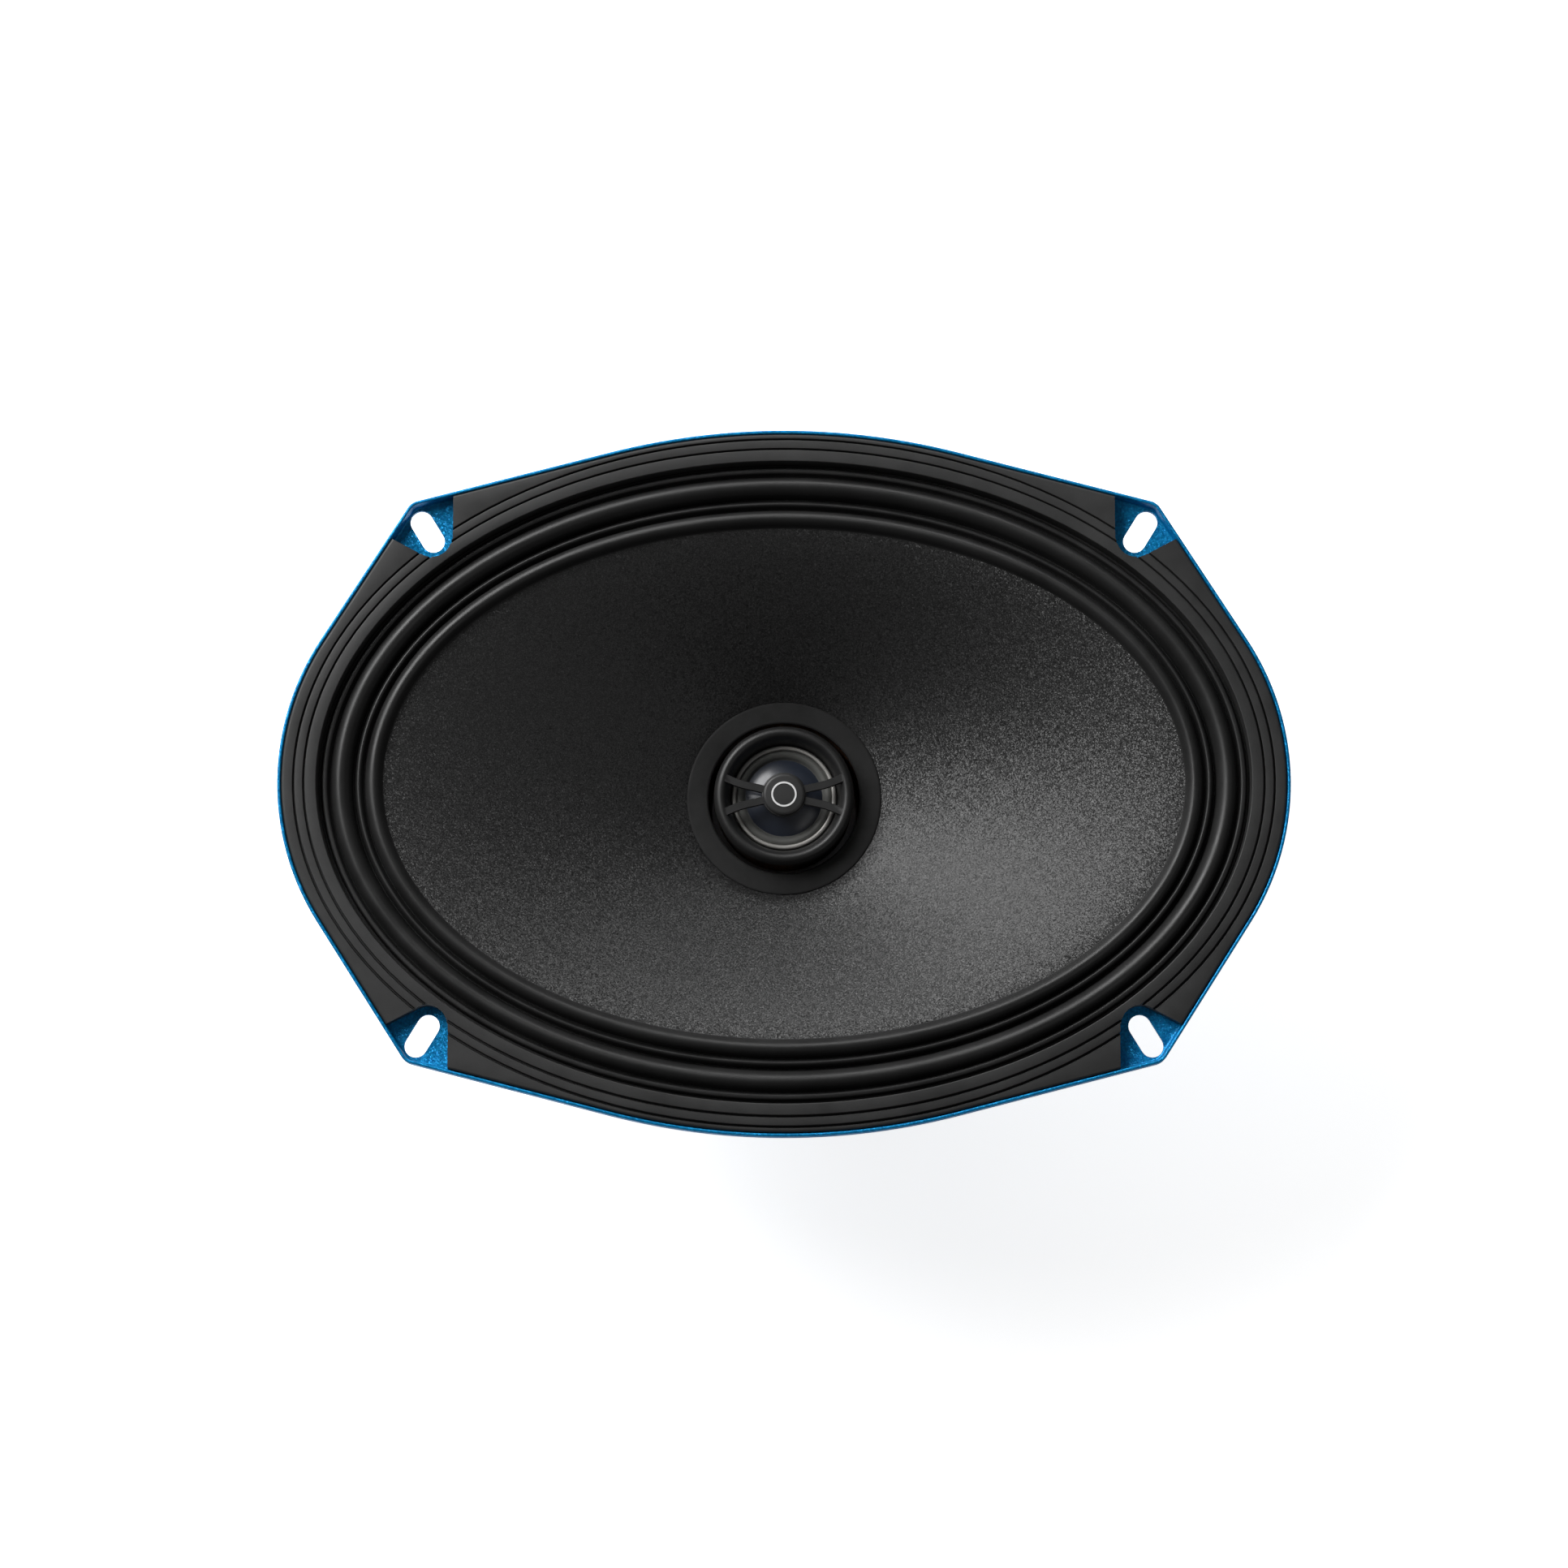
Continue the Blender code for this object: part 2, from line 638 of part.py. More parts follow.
def make_magnet():
    low = BACK_Z + PLATE_THICKNESS + GAP
    high = FRONT_PLATE_BOTTOM - GAP
    chamfer = 1.2 * MM
    profile = [
        (MAGNET_BORE_R, low),
        (MAGNET_R - chamfer, low),
        (MAGNET_R, low + chamfer),
        (MAGNET_R, high - chamfer),
        (MAGNET_R - chamfer, high),
        (MAGNET_BORE_R, high),
    ]
    add_object("ferrite_magnet", lathe(profile, ROUND_STEPS), "ferrite")


def make_yoke():
    """Back plate and pole piece in one, bored for the tweeter's wires and grooved to let them out."""
    plate_top = BACK_Z + PLATE_THICKNESS
    chamfer = 1.0 * MM
    profile = [
        (POLE_BORE_R, BACK_Z),
        (PLATE_R - chamfer, BACK_Z),
        (PLATE_R, BACK_Z + chamfer),
        (PLATE_R, plate_top),
        (POLE_R, plate_top),
        (POLE_R, POLE_TOP - 0.5 * MM),
        (POLE_R - 0.5 * MM, POLE_TOP),
        (POLE_BORE_R, POLE_TOP),
    ]
    yoke = add_object("yoke", lathe(profile, ROUND_STEPS), "zinc_steel")
    depth = WIRE_GROOVE_DEPTH + CUT_MARGIN
    size = (WIRE_GROOVE_WIDTH, PLATE_R + CUT_MARGIN, depth)
    centre = (0, -(PLATE_R + CUT_MARGIN) / 2, BACK_Z - CUT_MARGIN + depth / 2)
    boolean(yoke, add_object("groove_cutter", box(size, Matrix.Translation(centre)), None))


def make_plate_screws():
    """Pan-head screws, down through the basket's floor into the front plate."""
    head_low = FLOOR_Z + GAP
    profile = [
        (0, FRONT_PLATE_TOP - 4.0 * MM),
        (SCREW_R, FRONT_PLATE_TOP - 4.0 * MM),
        (SCREW_R, head_low),
        (2 * SCREW_R, head_low),
        (2 * SCREW_R, head_low + 1.2 * MM),
        (1.4 * SCREW_R, head_low + 2.2 * MM),
        (0, head_low + 2.4 * MM),
    ]
    for number, angle in enumerate(PLATE_SCREW_ANGLES, 1):
        at = (PLATE_SCREW_RING_R * cos(radians(angle)), PLATE_SCREW_RING_R * sin(radians(angle)), 0)
        add_object(f"plate_screw_{number}", lathe(profile, 12, at), "zinc_steel")


# ---------------------------------------------------------------- tweeter


def make_tweeter_post():
    """A hollow plastic stem glued into the pole piece, which carries the tweeter above it."""
    profile = [
        (WIRE_BORE_R, POLE_TOP - 12 * MM),
        (POLE_BORE_R - GAP, POLE_TOP - 12 * MM),
        (POLE_BORE_R - GAP, POLE_TOP + GAP),
        (9.0 * MM, POLE_TOP + GAP),
        (9.0 * MM, POLE_TOP + 1.8 * MM),
        (6.5 * MM, POLE_TOP + 2.4 * MM),
        (6.5 * MM, HOUSING_BOTTOM - GAP),
        (WIRE_BORE_R, HOUSING_BOTTOM - GAP),
    ]
    add_object("tweeter_post", lathe(profile, SMALL_STEPS), "black_plastic")


def make_tweeter_housing():
    inner = HOUSING_R - HOUSING_WALL
    profile = [
        (WIRE_BORE_R, HOUSING_BOTTOM),
        (HOUSING_R - 3.5 * MM, HOUSING_BOTTOM),
        (HOUSING_R, HOUSING_BOTTOM + 4 * MM),
        (HOUSING_R, HOUSING_TOP),
        (inner, HOUSING_TOP),
        (inner, HOUSING_BOTTOM + 4.6 * MM),
        (inner - 2.8 * MM, HOUSING_BOTTOM + 1.5 * MM),
        (WIRE_BORE_R, HOUSING_BOTTOM + 1.5 * MM),
    ]
    add_object("tweeter_housing", lathe(profile, ROUND_STEPS), "black_plastic")


def make_tweeter_motor():
    """Steel cup, neodymium disc and pole plate, from the bottom up."""
    cup = [
        (0, -36.2 * MM),
        (11.4 * MM, -36.2 * MM),
        (12.2 * MM, -35.4 * MM),
        (12.2 * MM, -28.3 * MM),
        (10.4 * MM, -28.3 * MM),
        (10.4 * MM, -34.5 * MM),
        (0, -34.5 * MM),
    ]
    add_object("tweeter_yoke", lathe(cup, SMALL_STEPS), "zinc_steel")
    magnet = [(0, -34.2 * MM), (7.8 * MM, -34.2 * MM), (7.8 * MM, -30.7 * MM), (0, -30.7 * MM)]
    add_object("tweeter_magnet", lathe(magnet, SMALL_STEPS), "satin_trim")
    plate = [(0, -30.4 * MM), (8.2 * MM, -30.4 * MM), (8.2 * MM, -28.4 * MM), (0, -28.4 * MM)]
    add_object("tweeter_pole_plate", lathe(plate, SMALL_STEPS), "zinc_steel")
    ring = [
        (10.8 * MM, -28.0 * MM),
        (14.6 * MM, -28.0 * MM),
        (14.6 * MM, -26.0 * MM),
        (10.8 * MM, -26.0 * MM),
    ]
    add_object("diaphragm_ring", lathe(ring, SMALL_STEPS), "black_plastic")


def make_tweeter_diaphragm(parent):
    coil = [
        (9.0 * MM, -33.2 * MM),
        (9.6 * MM, -33.2 * MM),
        (9.6 * MM, DOME_EDGE_Z - GAP),
        (9.0 * MM, DOME_EDGE_Z - GAP),
    ]
    add_object("tweeter_coil", lathe(coil, SMALL_STEPS), "copper", parent)
    rise = DOME_APEX_Z - DOME_EDGE_Z
    sphere_r = (DOME_R**2 + rise**2) / (2 * rise)
    centre_z = DOME_APEX_Z - sphere_r
    thickness = 0.4 * MM
    rings = (1.0, 0.8, 0.55, 0.28)
    top = [(DOME_R * s, centre_z + sqrt(sphere_r**2 - (DOME_R * s) ** 2)) for s in rings]
    profile = [*top, (0, DOME_APEX_Z), (0, DOME_APEX_Z - thickness)]
    profile += [(r, z - thickness) for r, z in reversed(top[1:])]
    profile.append((DOME_R - 0.3 * MM, DOME_EDGE_Z))
    add_object("tweeter_dome", lathe(list(reversed(profile)), SMALL_STEPS), "dome_film", parent)


def make_tweeter_surround():
    profile = [
        (12.6 * MM, -25.6 * MM),
        (12.6 * MM, -25.1 * MM),
        (11.5 * MM, -25.1 * MM),
        (10.9 * MM, -24.4 * MM),
        (10.2 * MM, -24.4 * MM),
        (9.6 * MM, -25.0 * MM),
        (9.9 * MM, -25.4 * MM),
        (10.6 * MM, -24.9 * MM),
        (11.3 * MM, -25.6 * MM),
    ]
    add_object("tweeter_surround", lathe(profile, SMALL_STEPS), "rubber")
    trim = [
        (11.6 * MM, -24.8 * MM),
        (12.5 * MM, -24.8 * MM),
        (12.5 * MM, -24.0 * MM),
        (12.1 * MM, -23.7 * MM),
        (11.7 * MM, -24.0 * MM),
    ]
    add_object("trim_ring", lathe(trim, ROUND_STEPS), "satin_trim")


def arm_outline(sx, sy):
    """One bowed arm of the tweeter's guard, from inside the hub to inside the bezel's roll."""
    middles = [(3.2 * MM, 0.9 * MM), (5.4 * MM, 1.35 * MM), (9.5 * MM, 2.2 * MM), (14.6 * MM, 4.45 * MM)]
    sides = ([], [])
    for index, (x, y) in enumerate(middles):
        before = middles[max(index - 1, 0)]
        after = middles[min(index + 1, len(middles) - 1)]
        run = (after[0] - before[0], after[1] - before[1])
        length = hypot(*run)
        normal = (-run[1] / length, run[0] / length)
        for side, sign in zip(sides, (1, -1)):
            side.append((x + sign * normal[0] * ARM_WIDTH / 2, y + sign * normal[1] * ARM_WIDTH / 2))
    return [(sx * x, sy * y) for x, y in sides[0] + sides[1][::-1]]


def make_bezel():
    """A rolled rim with four bowed arms that hold a hub over the dome."""
    profile = [
        (16.0 * MM, -20.8 * MM),
        (BEZEL_R, -20.4 * MM),
        (16.4 * MM, -19.6 * MM),
        (15.9 * MM, -19.15 * MM),
        (15.3 * MM, BEZEL_TOP),
        (14.6 * MM, -19.25 * MM),
        (13.9 * MM, -20.2 * MM),
        (13.3 * MM, -22.0 * MM),
        (12.9 * MM, -24.4 * MM),
        (13.9 * MM, -24.4 * MM),
        (14.4 * MM, -22.0 * MM),
        (14.9 * MM, -20.8 * MM),
    ]
    bezel = add_object("tweeter_bezel", lathe(profile, ROUND_STEPS), "black_plastic")
    low = ARM_TOP - ARM_THICKNESS
    hub = lathe([(0, low), (HUB_R, low), (HUB_R, ARM_TOP), (0, ARM_TOP)], SMALL_STEPS)
    inset = 0.1 * MM
    for index, (sx, sy) in enumerate(corner_signs()):
        shape = prism(arm_outline(sx, sy), low + inset, ARM_TOP - inset)
        boolean(bezel, add_object(f"arm_joiner_{index}", shape, None), "UNION")
    boolean(bezel, add_object("hub_joiner", hub, None), "UNION")
    badge = [
        (0, ARM_TOP + GAP),
        (BADGE_R, ARM_TOP + GAP),
        (BADGE_R, ARM_TOP + GAP + 0.4 * MM),
        (BADGE_R - 0.3 * MM, ARM_TOP + GAP + 0.6 * MM),
        (0, ARM_TOP + GAP + 0.7 * MM),
    ]
    add_object("hub_badge", lathe(badge, SMALL_STEPS), "black_plastic")


# ---------------------------------------------------------------- terminals and wiring


def on_board(bm, x=0.0, y=0.0, z=0.0):
    bmesh.ops.transform(bm, matrix=board_matrix() @ Matrix.Translation((x, y, z)), verts=bm.verts)
    return bm


def make_terminals():
    """A board riveted to the basket's wall, with a wide and a narrow push-on tab held by eyelets."""
    thickness = BOARD_SIZE[2]
    board_low = GAP
    board_high = board_low + thickness
    bm = on_board(box(BOARD_SIZE), z=board_low + thickness / 2)
    board = add_object("terminal_board", bm, "phenolic_board")
    tab_low = board_high + GAP
    tab_high = tab_low + TAB_THICKNESS
    tab_top, tab_bottom = -1.0 * MM, -21.0 * MM
    holes = [("rivet", 0, 0, 1.9 * MM)]
    for name, sign, width in (
        ("terminal_positive", 1, POSITIVE_TAB_WIDTH),
        ("terminal_negative", -1, NEGATIVE_TAB_WIDTH),
    ):
        x = sign * TAB_X
        holes.append((name, x, -EYELET_DROP, 1.5 * MM))
        size = (width, tab_top - tab_bottom, TAB_THICKNESS)
        bm = on_board(box(size), x=x, y=(tab_top + tab_bottom) / 2, z=(tab_low + tab_high) / 2)
        tab = add_object(name, bm, "brass")
        cut = lathe([(0, -9 * MM), (1.5 * MM, -9 * MM), (1.5 * MM, 9 * MM), (0, 9 * MM)], 12)
        boolean(tab, add_object(f"{name}_cutter", on_board(cut, x=x, y=-EYELET_DROP), None))
        eyelet = [
            (0, -2.2 * MM),
            (2.2 * MM, -2.2 * MM),
            (2.2 * MM, -1.5 * MM),
            (1.2 * MM, -1.2 * MM),
            (1.2 * MM, tab_high + GAP),
            (2.2 * MM, tab_high + GAP),
            (1.7 * MM, tab_high + GAP + 0.7 * MM),
            (0, tab_high + GAP + 0.7 * MM),
        ]
        bm = on_board(lathe(eyelet, 12), x=x, y=-EYELET_DROP)
        add_object(f"{name}_eyelet", bm, "brass")
    for name, x, y, radius in holes:
        cut = lathe([(0, -9 * MM), (radius, -9 * MM), (radius, 9 * MM), (0, 9 * MM)], 12)
        boolean(board, add_object(f"board_hole_cutter_{name}", on_board(cut, x=x, y=y), None))
    rivet = [
        (0, -2.8 * MM),
        (2.8 * MM, -2.8 * MM),
        (3.0 * MM, -2.0 * MM),
        (1.6 * MM, -2.0 * MM),
        (1.6 * MM, board_high + GAP),
        (3.2 * MM, board_high + GAP),
        (2.2 * MM, board_high + 1.4 * MM),
        (0, board_high + 1.6 * MM),
    ]
    add_object("terminal_rivet", on_board(lathe(rivet, 12)), "zinc_steel")


def make_capacitor():
    """The tweeter's crossover capacitor, lying across the upper half of the board."""
    radius, half = 3.6 * MM, 8.5 * MM
    profile = [
        (0, -half),
        (radius - 0.8 * MM, -half),
        (radius, -half + 0.8 * MM),
        (radius, half - 1.9 * MM),
        (radius - 0.4 * MM, half - 1.4 * MM),
        (radius, half - 0.9 * MM),
        (radius - 0.6 * MM, half),
        (0, half),
    ]
    bm = lathe(profile, 16)
    bmesh.ops.rotate(bm, verts=bm.verts, matrix=Matrix.Rotation(pi / 2, 3, "Y"))
    top = GAP + BOARD_SIZE[2] + GAP + radius
    add_object("crossover_capacitor", on_board(bm, y=7.0 * MM, z=top), "capacitor_sleeve")


def rounded_path(points, radius):
    """The points of a path, with each inner corner replaced by a short curve."""
    path = [points[0]]
    for before, corner, after in zip(points, points[1:], points[2:]):
        leave = corner + (before - corner).normalized() * min(radius, (before - corner).length * 0.45)
        join = corner + (after - corner).normalized() * min(radius, (after - corner).length * 0.45)
        for share in (0, 0.5, 1):
            path.append(leave.lerp(corner, share).lerp(corner.lerp(join, share), share))
    return path + [points[-1]]


def tube_along(name, points, radius, finish):
    """A round wire along a path."""
    curve = bpy.data.curves.new(name, "CURVE")
    curve.dimensions = "3D"
    curve.bevel_depth = radius
    curve.bevel_resolution = 1
    curve.use_fill_caps = True
    spline = curve.splines.new("POLY")
    spline.points.add(len(points) - 1)
    for spline_point, point in zip(spline.points, points):
        spline_point.co = (*point, 1)
    curve.materials.append(material(finish))
    obj = bpy.data.objects.new(name, curve)
    bpy.context.scene.collection.objects.link(obj)
    place(obj)
    return obj


def make_tinsel_leads():
    """Flexible leads from the eyelets' inner ends to the collar under the cone."""
    for name, sign in (("tinsel_lead_positive", 1), ("tinsel_lead_negative", -1)):
        start = board_matrix() @ Vector((sign * TAB_X, -EYELET_DROP, -2.2 * MM - GAP - LEAD_R))
        end_angle = radians(270 + sign * 20)
        end_r = FORMER_OUTER_R + GAP + 1.9 * MM + LEAD_R
        end = Vector((end_r * cos(end_angle), end_r * sin(end_angle), -31.2 * MM))
        high = start.lerp(end, 0.3) + Vector((0, 0, 5.0 * MM))
        low = start.lerp(end, 0.75) + Vector((0, 0, 1.0 * MM))
        tube_along(name, rounded_path([start, high, low, end], 6 * MM), LEAD_R, "brass")


def make_tweeter_wires():
    """Two insulated wires: down past the magnet, along the yoke's groove and up through the pole."""
    groove_z = BACK_Z + 1.4 * MM
    outside_y = -(MAGNET_R + WIRE_R + 0.8 * MM)
    start = board_matrix() @ Vector((0, -BOARD_SIZE[1] / 2 + 1 * MM, GAP + BOARD_SIZE[2] + GAP + WIRE_R))
    for name, sign, finish in (
        ("tweeter_wire_positive", 1, "red_wire"),
        ("tweeter_wire_negative", -1, "black_wire"),
    ):
        aside = Vector((sign * WIRE_X, 0, 0))
        corners = [
            start,
            Vector((0, outside_y, FRONT_PLATE_TOP + 2 * MM)),
            Vector((0, outside_y, groove_z)),
            Vector((0, 0, groove_z)),
            Vector((0, 0, HOUSING_BOTTOM + 1.2 * MM)),
        ]
        tube_along(name, rounded_path([corner + aside for corner in corners], 2.5 * MM), WIRE_R, finish)


def main():
    clear_scene()
    make_basket()
    make_gasket()
    make_surround()
    make_spider()
    make_front_plate()
    make_magnet()
    make_yoke()
    make_plate_screws()
    make_tweeter_post()
    make_tweeter_housing()
    make_tweeter_motor()
    make_tweeter_surround()
    make_bezel()
    make_terminals()
    make_capacitor()
    make_tinsel_leads()
    make_tweeter_wires()
    cone_axis = add_empty("cone_axis")
    make_cone(cone_axis)
    make_dust_ring(cone_axis)
    make_voice_coil(cone_axis)
    make_tweeter_diaphragm(add_empty("tweeter_axis"))


main()
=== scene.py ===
"""The looks of an oval coaxial car speaker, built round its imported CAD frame.

Shapes are drawn in millimetres and become metres as each mesh is made. The loops of the frame, the gasket,
the surround and the cone take their heights from the flange's rear face. The other pieces start from their
CAD node's box.
"""

from math import atan2, cos, hypot, pi, radians, sin, sqrt, tan

import bmesh
import bpy
from mathutils import Matrix, Vector


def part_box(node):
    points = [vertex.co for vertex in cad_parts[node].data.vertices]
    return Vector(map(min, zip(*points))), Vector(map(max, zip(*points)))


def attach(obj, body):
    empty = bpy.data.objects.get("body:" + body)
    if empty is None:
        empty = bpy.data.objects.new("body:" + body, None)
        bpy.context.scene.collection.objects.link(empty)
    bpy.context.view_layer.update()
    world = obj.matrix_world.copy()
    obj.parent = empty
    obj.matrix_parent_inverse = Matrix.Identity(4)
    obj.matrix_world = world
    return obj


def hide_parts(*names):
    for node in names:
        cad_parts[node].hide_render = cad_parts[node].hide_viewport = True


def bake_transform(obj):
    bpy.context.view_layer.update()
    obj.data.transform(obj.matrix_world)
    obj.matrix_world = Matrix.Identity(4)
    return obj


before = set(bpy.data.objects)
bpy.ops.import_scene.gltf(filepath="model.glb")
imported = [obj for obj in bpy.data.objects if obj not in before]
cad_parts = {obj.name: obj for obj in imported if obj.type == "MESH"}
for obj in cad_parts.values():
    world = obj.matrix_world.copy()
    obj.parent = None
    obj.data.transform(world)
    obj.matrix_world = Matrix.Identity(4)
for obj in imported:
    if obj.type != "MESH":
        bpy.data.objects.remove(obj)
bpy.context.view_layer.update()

MM = 0.001


def box(name):
    """The lowest and highest corners of a CAD node, in millimetres."""
    low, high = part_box(name)
    return low / MM, high / MM


# The frame's outline and the cone's rim, as in the CAD.
HALF_LENGTH, HALF_WIDTH, LIP_TOP = box("basket")[1]
LIP_HEIGHT = 5.0
FLANGE_Z = LIP_TOP - LIP_HEIGHT
SHEET = 1.2
SIDE_ARC_R = 61.5
SIDE_ARC_ANGLE = radians(32.5)
END_ARC_R = 162.0
END_ARC_ANGLE = radians(14.5)
CORNER_R = 3.8
ARC_STEPS = 14
LINE_STEPS = 8
CORNER_STEPS = 8
RIM_A = 93.4
RIM_B = 60.2

# The screw slots, and the gasket's pockets round them.
SLOT_X = 83.5
SLOT_Y = 59.25
SLOT_WIDTH = 5.3
SLOT_LENGTH = 10.7
SLOT_ANGLE = radians(58.5)
POCKET_WALL = 1.9
POCKET_SIDE_X = 77.3
POCKET_LOW_NORMAL = radians(-62)

# The basket's wall, spider shelf and magnet cup, and the screws through the cup's floor.
BAND_OFFSET = 8.5
BAND_Z = -14.0
CUP_R = 47.0
SHELF_Z = -39.5
SHELF_INNER_R = 40.5
CUP_FLOOR_Z = -49.7
CUP_HOLE_R = 24.0
WINDOWS = ((0, 20), (52, 16), (128, 16), (180, 20), (232, 16), (308, 16))
WINDOW_LOW = -36.0
WINDOW_HIGH = -17.0
WINDOW_CORNER = 3.0
WINDOW_MIDDLE_R = 70
WINDOW_INNER_R = 30
WINDOW_OUTER_R = 130
SCREWS = ("plate_screw_1", "plate_screw_2", "plate_screw_3", "plate_screw_4")
SCREW_HOLE_R = 2.2

# The terminal board: heights stand out from the wall's outer face.
BOARD_WIDTH = 34
BOARD_HEIGHT = 24
BOARD_LOW = 0.3
BOARD_HIGH = 2.3
RIVET_HOLE_R = 1.8
TAB_X = 10.0
TAB_LOW = BOARD_HIGH + 0.05
TAB_HIGH = TAB_LOW + 0.8
EYELET_DROP = 4.0
EYELET_HOLE_R = 1.4
EYELET_CLEARANCE_R = 3.4
CAPACITOR_R = 3.6
CAPACITOR_HALF = 8.5

GROOVE_WIDTH = 5.0
GROOVE_DEPTH = 2.6
TWEETER_BORE = 2.4
# The visual dome's height as a share of the CAD dome's.
DOME_RISE = 0.68

# A corner is rounded in three steps, over at most this share of the sides next to it.
SOFT_STEPS = 3
SOFT_SHARE = 0.45
SMOOTH_ANGLE = radians(38)
ROUND_STEPS = 160
MEDIUM_STEPS = 96
SMALL_STEPS = 32
CORNERS = ((1, 1), (-1, 1), (-1, -1), (1, -1))


# ------------------------ outlines, in the plane


def arc(centre, radius, start, end, steps):
    """Points along an arc, both ends included."""
    angles = [start + (end - start) * i / steps for i in range(steps + 1)]
    return [(centre[0] + radius * cos(a), centre[1] + radius * sin(a)) for a in angles]


def between(first, last):
    """The points that split a straight line into equal steps, without its ends."""
    shares = [i / LINE_STEPS for i in range(1, LINE_STEPS)]
    return [tuple(a + (b - a) * share for a, b in zip(first, last)) for share in shares]


def quarter_outline(inset):
    """The frame's outline from +X round to +Y, moved inwards by inset."""
    side_centre = (HALF_LENGTH - SIDE_ARC_R, 0)
    end_centre = (0, HALF_WIDTH - END_ARC_R)
    side_normal = (cos(SIDE_ARC_ANGLE), sin(SIDE_ARC_ANGLE))
    end_normal = (sin(END_ARC_ANGLE), cos(END_ARC_ANGLE))
    corner_r = CORNER_R - inset
    side_reach = side_centre[0] * side_normal[0] + SIDE_ARC_R - inset - corner_r
    end_reach = end_centre[1] * end_normal[1] + END_ARC_R - inset - corner_r
    across = side_normal[0] * end_normal[1] - side_normal[1] * end_normal[0]
    corner_centre = (
        (side_reach * end_normal[1] - side_normal[1] * end_reach) / across,
        (side_normal[0] * end_reach - side_reach * end_normal[0]) / across,
    )
    side = arc(side_centre, SIDE_ARC_R - inset, 0, SIDE_ARC_ANGLE, ARC_STEPS)
    corner = arc(corner_centre, corner_r, SIDE_ARC_ANGLE, pi / 2 - END_ARC_ANGLE, CORNER_STEPS)
    end = arc(end_centre, END_ARC_R - inset, pi / 2 - END_ARC_ANGLE, pi / 2, ARC_STEPS)
    return side + between(side[-1], corner[0]) + corner + between(corner[-1], end[0]) + end


def outline(inset):
    """The whole outline, anticlockwise from +X."""
    quarter = quarter_outline(inset)
    half = quarter + [(-x, y) for x, y in reversed(quarter[:-1])]
    return half + [(-x, -y) for x, y in half[1:-1]]


ANGLES = [atan2(y / HALF_WIDTH, x / HALF_LENGTH) for x, y in outline(0)]


def up(z):
    """A point on the sound axis, or a step along it."""
    return Vector((0, 0, z))


def flat_loop(points, z):
    return [Vector((x, y, z)) for x, y in points]


def edge_loop(inset, z):
    """A loop along the frame's outline, z above the flange's rear face."""
    return flat_loop(outline(inset), FLANGE_Z + z)


def ellipse_loop(half_x, half_y, z):
    return flat_loop([(half_x * cos(t), half_y * sin(t)) for t in ANGLES], FLANGE_Z + z)


def oval_loop(offset, z):
    """A loop along the cone's rim, moved outwards by offset."""
    return ellipse_loop(RIM_A + offset, RIM_B + offset, z)


def circle_loop(radius, z):
    return ellipse_loop(radius, radius, z)


def slot_outline(centre, angle):
    """A screw slot with round ends, along the given angle."""
    reach = (SLOT_LENGTH - SLOT_WIDTH) / 2
    points = []
    for sign in (1, -1):
        middle = (centre[0] + sign * reach * cos(angle), centre[1] + sign * reach * sin(angle))
        start = angle - sign * pi / 2
        points += arc(middle, SLOT_WIDTH / 2, start, start + pi, 12)
    return points


def rounded_rectangle(width, height, radius, steps):
    points = []
    for quarter, (sx, sy) in enumerate(CORNERS):
        centre = (sx * (width / 2 - radius), sy * (height / 2 - radius))
        start = quarter * pi / 2
        points += arc(centre, radius, start, start + pi / 2, steps)
    return points


def smooth_line(points, steps):
    """A Catmull-Rom curve through (across, height) points."""
    line = []
    for i in range(len(points) - 1):
        around = (points[max(i - 1, 0)], points[i], points[i + 1], points[min(i + 2, len(points) - 1)])
        for step in range(steps):
            line.append(tuple(curve_value(*values, step / steps) for values in zip(*around)))
    return line + [points[-1]]


def curve_value(a, b, c, d, t):
    """A Catmull-Rom curve's value, a share t of the way from b to c."""
    cubic = (3 * b - a - 3 * c + d) * t**3
    return 0.5 * (2 * b + (c - a) * t + (2 * a - 5 * b + 4 * c - d) * t**2 + cubic)


def band(inner, outer, low, high):
    """The profile of a plain ring, or of a disc with an inner radius of 0."""
    return [(inner, low), (outer, low), (outer, high), (inner, high)]


def raised(base, *points):
    """A profile of points with their heights above a base."""
    return [(radius, base + height) for radius, height in points]


# ------------------------ mesh helpers


def round_corner(before, corner, after, radius, steps):
    """The points of a curve that takes a corner's place."""
    leave, join = (
        corner + (end - corner).normalized() * min(radius, (end - corner).length * SOFT_SHARE)
        for end in (before, after)
    )
    shares = [step / steps for step in range(steps + 1)]
    return [leave.lerp(corner, t).lerp(corner.lerp(join, t), t) for t in shares]


def soften(section, closed=True):
    """Loops from (loop, radius) pairs, with each loop's corner rounded towards its neighbours."""
    loops = [loop for loop, radius in section]
    out = []
    for index, (loop, radius) in enumerate(section):
        at_end = not closed and index in (0, len(loops) - 1)
        if not radius or at_end:
            out.append(loop)
            continue
        neighbours = zip(loops[index - 1], loop, loops[(index + 1) % len(loops)])
        curves = [round_corner(*corner, radius, SOFT_STEPS) for corner in neighbours]
        out += [list(points) for points in zip(*curves)]
    return out


def skin(loops, closed_section=True):
    """Joins loops of equal length with faces. The ends are capped if the section isn't a closed one."""
    count = len(loops[0])
    rows = len(loops)
    verts = [point for loop in loops for point in loop]
    faces = []
    for row in range(rows if closed_section else rows - 1):
        first, second = row * count, (row + 1) % rows * count
        for i in range(count):
            j = (i + 1) % count
            faces.append((first + i, first + j, second + j, second + i))
    if not closed_section:
        faces.append(tuple(range(count)))
        faces.append(tuple((rows - 1) * count + i for i in reversed(range(count))))
    return verts, faces


